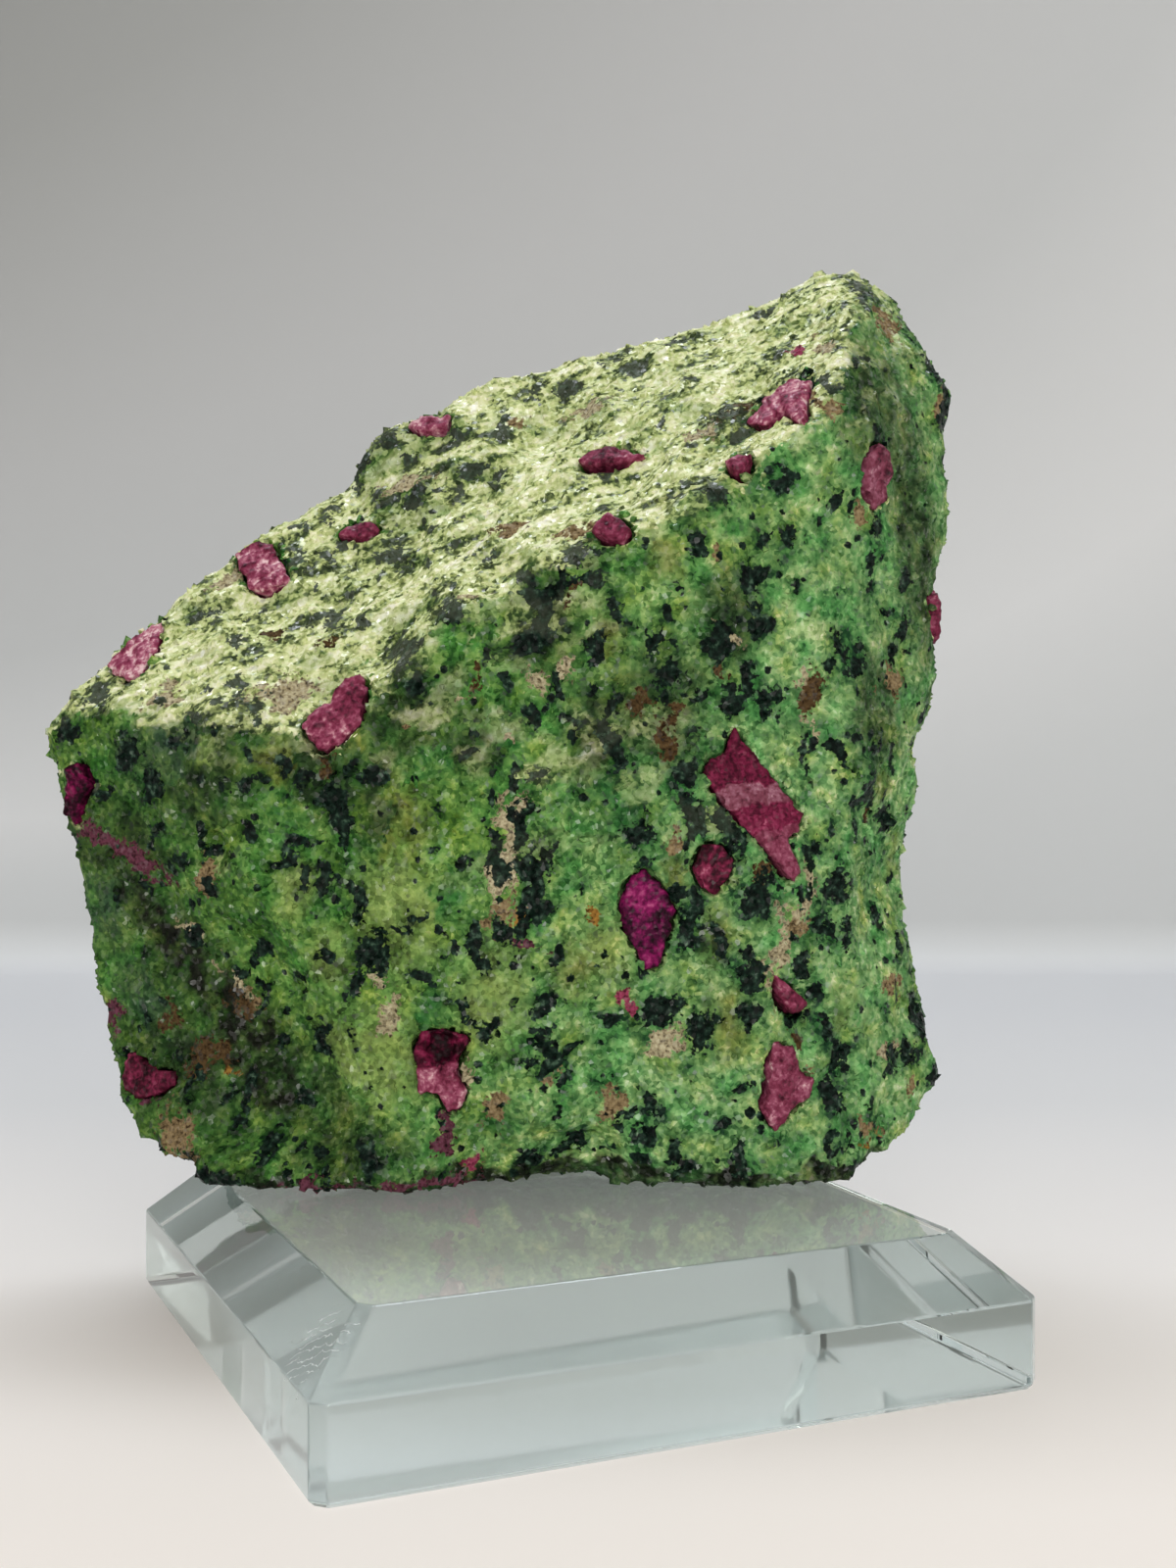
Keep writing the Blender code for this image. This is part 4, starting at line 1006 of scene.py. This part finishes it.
# %% The grains as pieces
MOST_GRAINS = 9900               # keeps a piece under 200,000 triangles
ZOISITE_GRAIN = {"radius": 0.8, "spread": 0.24, "stretch": (1.15, 0.9, 0.9), "sunk": 0.7}
HORNBLENDE_GRAIN = {"radius": 0.8, "spread": 0.22, "stretch": (1.3, 0.9, 0.8), "sunk": 0.85}
chosen = np.flatnonzero(~in_clot)
centre = np.array(sum(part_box("zoisite_lump"), Vector()) / 2)
bearing = np.arctan2(*(places[chosen] - centre)[:, [1, 0]].T)
chosen = chosen[np.argsort(bearing)]
parts = math.ceil(len(chosen) / MOST_GRAINS)
for number, share in enumerate(np.array_split(chosen, parts), start=1):
    dress_rock(grain_piece(f"zoisite_grains_{number}", share, **ZOISITE_GRAIN))
dress_rock(grain_piece("hornblende_grains", np.flatnonzero(in_clot)[:MOST_GRAINS],
                       **HORNBLENDE_GRAIN))


# %% [markdown]
# ## The rubies
#
# A ruby breaks differently from the rock: across its parting planes, in flat steps that lie
# parallel and catch the light as bands. Each crystal keeps the solid's outline, is grown a
# little so that the grains overlap its edge, and is remeshed finely. Then its broken face is
# sunk by two families of steps, a tilt and some noise. The relief fades out down the sides,
# where the crystal is buried in the rock.

# %% Frames of the crystals
RUBY_VOXEL = 0.42                # mm
RUBY_GROWN = 0.05                # mm
lump_middle = Vector(centre)


def cap_frame(name):
    """Middle, outward direction, right and up of a crystal's broken face."""
    groups = {}
    for polygon in nodes[name].data.polygons:
        key = tuple(round(value, 2) for value in polygon.normal)
        groups.setdefault(key, []).append(polygon)

    def area_facing_out(group):
        faces_out = group[0].normal.dot(group[0].center - lump_middle) > 0
        return sum(polygon.area for polygon in group) * faces_out

    cap = max(groups.values(), key=area_facing_out)
    total = sum(polygon.area for polygon in cap)
    middle = sum((polygon.center * polygon.area for polygon in cap), Vector()) / total
    out = cap[0].normal.copy()
    up = (Vector((0, 0, 1)) - out * out.z).normalized()
    return [np.array(axis) for axis in (middle, out, up.cross(out), up)]


print("shield faces:", cap_frame("ruby_shield")[1].round(2))

# %% A crystal with its broken face
# Each look is (contrast, step angle in degrees, step width, step height, bands). A band is
# (up, shade, greyness): above that height on the face, a shade from 0, near black, to 1, pale
# pink, and how grey the crimson is, or how violet where that is negative. Lengths in mm.
PLAIN_LOOK = (0.24, 60, 2.0, 0.16, [(-99, 0.48, 0.35)])
RUBY_LOOKS = {
    "ruby_shield": (0.13, -35, 3.4, 0.10, [
        (2.4, 0.36, 0.15), (-1.4, 0.56, 0.85), (-5.0, 0.50, 0.15), (-99, 0.54, 0.5)]),
    "ruby_hexagon": (0.34, 75, 2.6, 0.18, [(-99, 0.30, -0.6)]),
    "ruby_square": (0.26, 80, 2.2, 0.30, [(0.0, 0.30, 0.1), (-99, 0.66, 0.4)]),
    "ruby_lower_right": (0.20, 60, 2.4, 0.18, [(-99, 0.58, 0.45)]),
    "ruby_upper_right": (0.20, 85, 1.8, 0.16, [(-99, 0.48, 0.7)]),
    # The crystals on the top slope, from the horn to the crest, have lighter shades: painted
    # light of the window's glare on the lit slope.
    "ruby_horn": (0.30, 35, 1.9, 0.25, [(-99, 0.68, 0.3)]),
    "ruby_brow": (0.26, 50, 2.0, 0.18, [(-99, 0.56, 0.35)]),
    "ruby_left_slope": (0.34, 35, 1.6, 0.20, [(-99, 0.72, 0.3)]),
    "ruby_slope_square": (0.40, -50, 1.8, 0.25, [(-99, 0.68, 0.35)]),
    "ruby_crest": (0.28, 10, 2.0, 0.18, [(-99, 0.70, 0.4)]),
    "ruby_beside_shield": (0.40, 40, 1.6, 0.2, [(-99, 0.20, 0.2)]),
    "ruby_lower_left": (0.30, 20, 1.8, 0.25, [(-99, 0.34, 0.25)]),
    "ruby_left_edge": (0.28, 10, 1.8, 0.2, [(-99, 0.24, -0.3)]),
}
# Pits in a broken face: (right, up, radius, depth) in mm.
PITS = {"ruby_square": [(-0.3, 2.4, 2.6, 2.0)]}
FACE_SUNK = 0.3                  # mm that a broken face lies under the grains
RIM_FRAY = 0.88                  # mm that the outline wanders in and out
RIM_FADE = 3.0                   # mm over which the relief fades out down the sides


def sawtooth(amount, width):
    """From 0 to 1 and back, over and over: long flats with short rises."""
    saw = (amount / width) % 1.0
    return np.minimum(saw / 0.82, (1.0 - saw) / 0.18)


def parting_steps(r, u, angle, width, broad, middling):
    """The two families of steps across a broken face."""
    lean = math.radians(angle)
    along = r * math.cos(lean) + u * math.sin(lean)
    aside = r * math.sin(lean) - u * math.cos(lean)
    return (sawtooth(along + 1.1 * broad + 0.2 * middling, width),
            sawtooth(aside + 0.4 * along + 1.3 * broad, width * 2.3))


def pits(name, r, u, middling):
    """How far each point lies in a pit, from 0 to 1, and how deep that takes it, in mm."""
    pitted, deeper = np.zeros(len(r)), np.zeros(len(r))
    for pit_right, pit_up, radius, depth in PITS.get(name, []):
        away = np.hypot(r - pit_right, u - pit_up) / radius + 0.5 * middling
        inside = np.clip(1.6 - 1.2 * away, 0, 1)
        pitted, deeper = np.maximum(pitted, inside), deeper + depth * inside
    return pitted, deeper


def frayed_rim(spots, r, u, right, up, seed):
    """How each point moves outwards or inwards along the face, in mm."""
    frayed = RIM_FRAY * (noise_at(spots, 2.2, seed + 9) + 0.6 * noise_at(spots, 0.9, seed + 5))
    outwards = np.stack([r, u], axis=1)
    outwards /= np.maximum(np.linalg.norm(outwards, axis=1), 0.5)[:, None]
    return (outwards[:, :1] * right + outwards[:, 1:] * up) * frayed[:, None]


def banded(bands, edge):
    """The shade and the greyness of the band that each point is in."""
    shade, grey = np.zeros(len(edge)), np.zeros(len(edge))
    for start, band_shade, band_grey in reversed(bands):
        shade[edge > start], grey[edge > start] = band_shade, band_grey
    return shade, grey


def remeshed_crystal(name):
    """A crystal's solid, grown a little, with a fine even mesh."""
    piece = merged_copy(name, name + "_broken")
    edit(piece)
    bpy.ops.transform.shrink_fatten(value=RUBY_GROWN * MM)
    leave_edit()
    apply(piece, "REMESH", mode="VOXEL", voxel_size=RUBY_VOXEL * MM)
    return piece


def ruby_piece(name, seed):
    contrast, angle, width, rise, bands = RUBY_LOOKS.get(name, PLAIN_LOOK)
    middle, out, right, up = cap_frame(name)
    piece = remeshed_crystal(name)
    mesh = piece.data
    spots = coordinates(mesh)
    gap = (spots - middle) / MM
    deep, r, u = gap @ out, gap @ right, gap @ up
    broad, middling, fine = (noise_at(spots, size, seed) for size in (4.0, 1.3, 0.6))
    steps, cross = parting_steps(r, u, angle, width, broad, middling)
    pitted, sink = pits(name, r, u, middling)
    sink += rise * steps + 0.5 * rise * cross + 0.4 * broad + 0.22 * middling + 0.12 * fine
    fade = np.clip((deep + 3.5) / RIM_FADE, 0, 1)
    moved = frayed_rim(spots, r, u, right, up, seed) - out * (sink + FACE_SUNK)[:, None]
    mesh.vertices.foreach_set("co", (spots + moved * (fade * MM)[:, None]).ravel())

    shade, grey = banded(bands, u - 0.12 * r + 1.2 * broad + 0.5 * middling)
    shade += contrast * (0.5 * steps + 0.3 * cross - 0.4 + 1.0 * broad + 0.9 * middling
                         + 0.8 * fine) - 0.3 * pitted
    for mark, values in (("shade", np.clip(shade, 0, 1)), ("grey", grey)):
        mesh.attributes.new(mark, "FLOAT", "POINT").data.foreach_set("value", values)
    mesh.shade_smooth()
    return piece


# %% [markdown]
# Ruby is corundum coloured by chromium. These crystals are opaque and full of cracks and
# mica, so they are no gems: a crimson body with pale scratches, a glassy lustre on the flats
# and none in the cracks. `shade` runs from the near-black of the deep cracks to the pale pink
# of crushed edges; on the crystals of the lit top slope it is raised as painted light. `grey`
# dulls the crimson where a film of mica covers it. A `grey` under nothing turns the crimson to
# violet instead, as in the hexagonal crystal.

# %% Opaque ruby
def opaque_ruby():
    finish, tree, shader = material("ruby_corundum_opaque", IOR=1.77)
    place = add(tree, "TexCoord").outputs["Object"]
    shade = add(tree, "Attribute", attribute_name="shade").outputs["Fac"]
    grey = add(tree, "Attribute", attribute_name="grey").outputs["Fac"]
    cells = add(tree, "TexVoronoi", {"Vector": place, "Scale": per_mm(0.5)})
    chances = add(tree, "SeparateColor", {"Color": cells.outputs["Color"]})
    cell = add(tree, "MapRange", {"Value": chances.outputs[0], "To Min": -0.1, "To Max": 0.1})
    mixed = total(tree, shade, wander(tree, place, 0.7, -0.14, 0.14, 4.0),
                  cell.outputs["Result"])
    crimson = add(tree, "ValToRGB", {"Fac": mixed}, stops=[
        (0.0, "#180309"), (0.22, "#3c081d"), (0.45, "#6a0f35"), (0.65, "#8c264e"),
        (0.83, "#b9687f"), (1.0, "#e6c0c4")])
    dusty = add(tree, "ValToRGB", {"Fac": mixed}, stops=[
        (0.0, "#1c0c10"), (0.25, "#4a222e"), (0.5, "#7a4352"), (0.72, "#98697a"),
        (1.0, "#d8c2c0")])
    violet = add(tree, "ValToRGB", {"Fac": mixed}, stops=[
        (0.0, "#16020f"), (0.25, "#4a0a38"), (0.5, "#86165f"), (0.75, "#b04a85"),
        (1.0, "#dca6c0")])
    body = blend(tree, grey, crimson.outputs["Color"], dusty.outputs["Color"])
    body = blend(tree, add(tree, "MapRange", {"Value": grey, "To Max": 1.0, "From Min": 0.0,
                                              "From Max": -1.0}).outputs["Result"],
                 body, violet.outputs["Color"])
    tree.links.new(body, shader.inputs["Base Color"])
    rough = add(tree, "MapRange", {"Value": chances.outputs[1], "To Min": 0.3, "To Max": 0.7})
    tree.links.new(rough.outputs["Result"], shader.inputs["Roughness"])
    mirror = add(tree, "MapRange", {"Value": chances.outputs[2], "From Min": 0.75,
                                    "To Min": 0.04, "To Max": 0.2})
    tree.links.new(mirror.outputs["Result"], shader.inputs["Specular IOR Level"])
    cracks = add(tree, "TexNoise", {"Vector": place, "Scale": per_mm(0.5), "Detail": 3.0})
    bump = add(tree, "Bump", {"Height": cracks.outputs["Fac"], "Strength": 0.4,
                              "Distance": 0.15 * MM})
    tree.links.new(bump.outputs["Normal"], shader.inputs["Normal"])
    return finish


ruby_finish = opaque_ruby()
for seed, name in enumerate(ruby_names):
    crystal = ruby_piece(name, seed * 7.3)
    crystal.data.materials.append(ruby_finish)
    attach(crystal, "root")
    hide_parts(name)
print("rubies:", len(ruby_names))


# %% [markdown]
# ## The glass block
#
# A display block is sawn from float glass, ground to a wide bevel and polished. Its corners
# are cut off so that they don't chip. The block starts as a cube; its top is drawn up and in
# for the bevel, its corner edges are cut, and a last small bevel rounds every edge a little,
# so that the edges catch a bright line.

# %% The block's shape
BLOCK_SIDE, BEVEL_WIDE, SHOULDER_HIGH = 100.0, 8.0, 12.0
CORNER_CUT, FOOT_CUT, EDGE_ROUND = 1.6, 0.8, 0.22


def polished_glass_block():
    low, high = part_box("glass_block")
    middle = (low + high) / 2
    bpy.ops.object.select_all(action="DESELECT")
    bpy.ops.mesh.primitive_cube_add(size=1.0)
    block = bpy.context.object
    block.name = "polished_glass_block"
    edit(block)
    bpy.ops.transform.resize(value=(BLOCK_SIDE * MM, BLOCK_SIDE * MM, SHOULDER_HIGH * MM))
    bpy.ops.transform.translate(value=(middle.x, middle.y, low.z + SHOULDER_HIGH / 2 * MM))
    leave_edit()
    choose(block, lambda a, b: min(a.z, b.z) > middle.z)
    edit(block, keep=True)
    bpy.ops.mesh.extrude_region_move(
        TRANSFORM_OT_translate={"value": (0, 0, BEVEL_WIDE * MM)})
    narrower = 1 - 2 * BEVEL_WIDE / BLOCK_SIDE
    bpy.ops.transform.resize(value=(narrower, narrower, 1), center_override=middle)
    leave_edit()
    cut_edges(block, lambda a, b: abs(a.z - b.z) > MM, CORNER_CUT)
    cut_edges(block, lambda a, b: max(a.z, b.z) < low.z + 0.1 * MM, FOOT_CUT)
    apply(block, "BEVEL", width=EDGE_ROUND * MM, segments=2, limit_method="ANGLE",
          angle_limit=math.radians(20))
    return block


def choose(block, wanted):
    """Select the edges whose two ends pass a test."""
    mesh = block.data
    for element in (*mesh.polygons, *mesh.edges, *mesh.vertices):
        element.select = False
    for edge in mesh.edges:
        a, b = (mesh.vertices[i] for i in edge.vertices)
        edge.select = wanted(a.co, b.co)
        if edge.select:
            a.select = b.select = True


def cut_edges(block, wanted, width):
    """Bevel the edges whose two ends a test picks, by a width in mm."""
    choose(block, wanted)
    edit(block, keep=True)
    bpy.ops.mesh.select_mode(type="EDGE")
    bpy.ops.mesh.bevel(offset=width * MM, segments=1, affect="EDGES")
    bpy.ops.mesh.select_mode(type="VERT")
    leave_edit()


block = polished_glass_block()
print("block faces:", len(block.data.polygons), "size:",
      [round(side / MM, 1) for side in block.dimensions])


# %% [markdown]
# Float glass has a little iron in it, which shows as a faint aqua where the path through the
# glass is long. Absorption in the volume gives exactly that: nearly clear across the block,
# stronger along it. The foot is worn and dusty from use, and it matters more than it seems
# to: light that is caught between top and foot comes out through it, and the bevels show it as
# soft pale bands. The left bevel has a scratched patch near the front corner.
#
# Glass bends light on but hardly stops it, while a renderer's shadow of it is as dark as a
# stone's. So the block casts no shadow and is left out of the light that bounces off the
# table, and the table under it stays as light as it is round it.

# %% Float glass
AQUA_DEPTH = 1.0                 # absorption per metre
FOOT_WORN = 0.03                 # mm up from the underside
FOOT_DULL, SCRATCH_DULL = 0.45, 0.35     # how much less light goes through there
# Scratched patches: middle in mm from the block's middle and foot, and radius.
SCRATCHED = [((-47.0, -40.0, 15.0), 6.5)]


def scratches(tree, place):
    """Thin wandering lines inside the scratched patches, as a number from 0 to 1."""
    lines = add(tree, "TexWave", {"Vector": place, "Scale": per_mm(3.4), "Distortion": 7.0,
                                  "Detail": 3.0, "Detail Scale": 2.0},
                bands_direction="DIAGONAL")
    thin = add(tree, "MapRange", {"Value": lines.outputs["Fac"], "From Min": 0.9,
                                  "From Max": 0.99}).outputs["Result"]
    nearest = 9.0
    for middle, radius in SCRATCHED:
        middle = Vector(middle) * MM + Vector((block_middle.x, block_middle.y, 0))
        away = add(tree, "VectorMath", {0: place, 1: middle}, operation="DISTANCE")
        share = add(tree, "Math", {0: away.outputs["Value"], 1: radius * MM},
                    operation="DIVIDE").outputs[0]
        nearest = add(tree, "Math", {0: nearest, 1: share}, operation="MINIMUM").outputs[0]
    frayed = total(tree, nearest, wander(tree, place, 2.5, -0.4, 0.4))
    patch = step_down(tree, frayed, 0.75, 0.25)
    return add(tree, "Math", {0: thin, 1: patch}, operation="MULTIPLY").outputs[0]


def float_glass():
    finish, tree, shader = material("float_glass_polished", IOR=1.52)
    shader.inputs["Base Color"].default_value = paint("#f8fdfc")
    place = add(tree, "TexCoord").outputs["Object"]
    height = add(tree, "SeparateXYZ", {"Vector": place}).outputs[2]
    foot = step_down(tree, height, FOOT_WORN * MM, 0.01 * MM)
    scratched = scratches(tree, place)
    clear = add(tree, "Math", {0: foot, 1: -FOOT_DULL, 2: 1.0},
                operation="MULTIPLY_ADD").outputs[0]
    clear = add(tree, "Math", {0: scratched, 1: -SCRATCH_DULL, 2: clear},
                operation="MULTIPLY_ADD")
    tree.links.new(clear.outputs[0], shader.inputs["Transmission Weight"])
    rough = add(tree, "Math", {0: scratched, 1: 0.4}, operation="MULTIPLY").outputs[0]
    rough = add(tree, "Math", {0: foot, 1: 0.05, 2: rough}, operation="MULTIPLY_ADD")
    tree.links.new(rough.outputs[0], shader.inputs["Roughness"])
    absorbing = add(tree, "VolumeAbsorption", {"Density": AQUA_DEPTH})
    absorbing.inputs["Color"].default_value = paint("#84dccb")
    out = next(node for node in tree.nodes if node.type == "OUTPUT_MATERIAL")
    tree.links.new(absorbing.outputs["Volume"], out.inputs["Volume"])
    return finish


block_middle = sum(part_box("glass_block"), Vector()) / 2
block.data.materials.append(float_glass())
block.visible_shadow = False
block.visible_diffuse = False
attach(block, "root")
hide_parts("glass_block")

# %% Sizes, and done
size = {"before": [list(corner) for corner in CAD_BOX],
        "after": [list(corner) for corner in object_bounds()]}
print("size:", size)
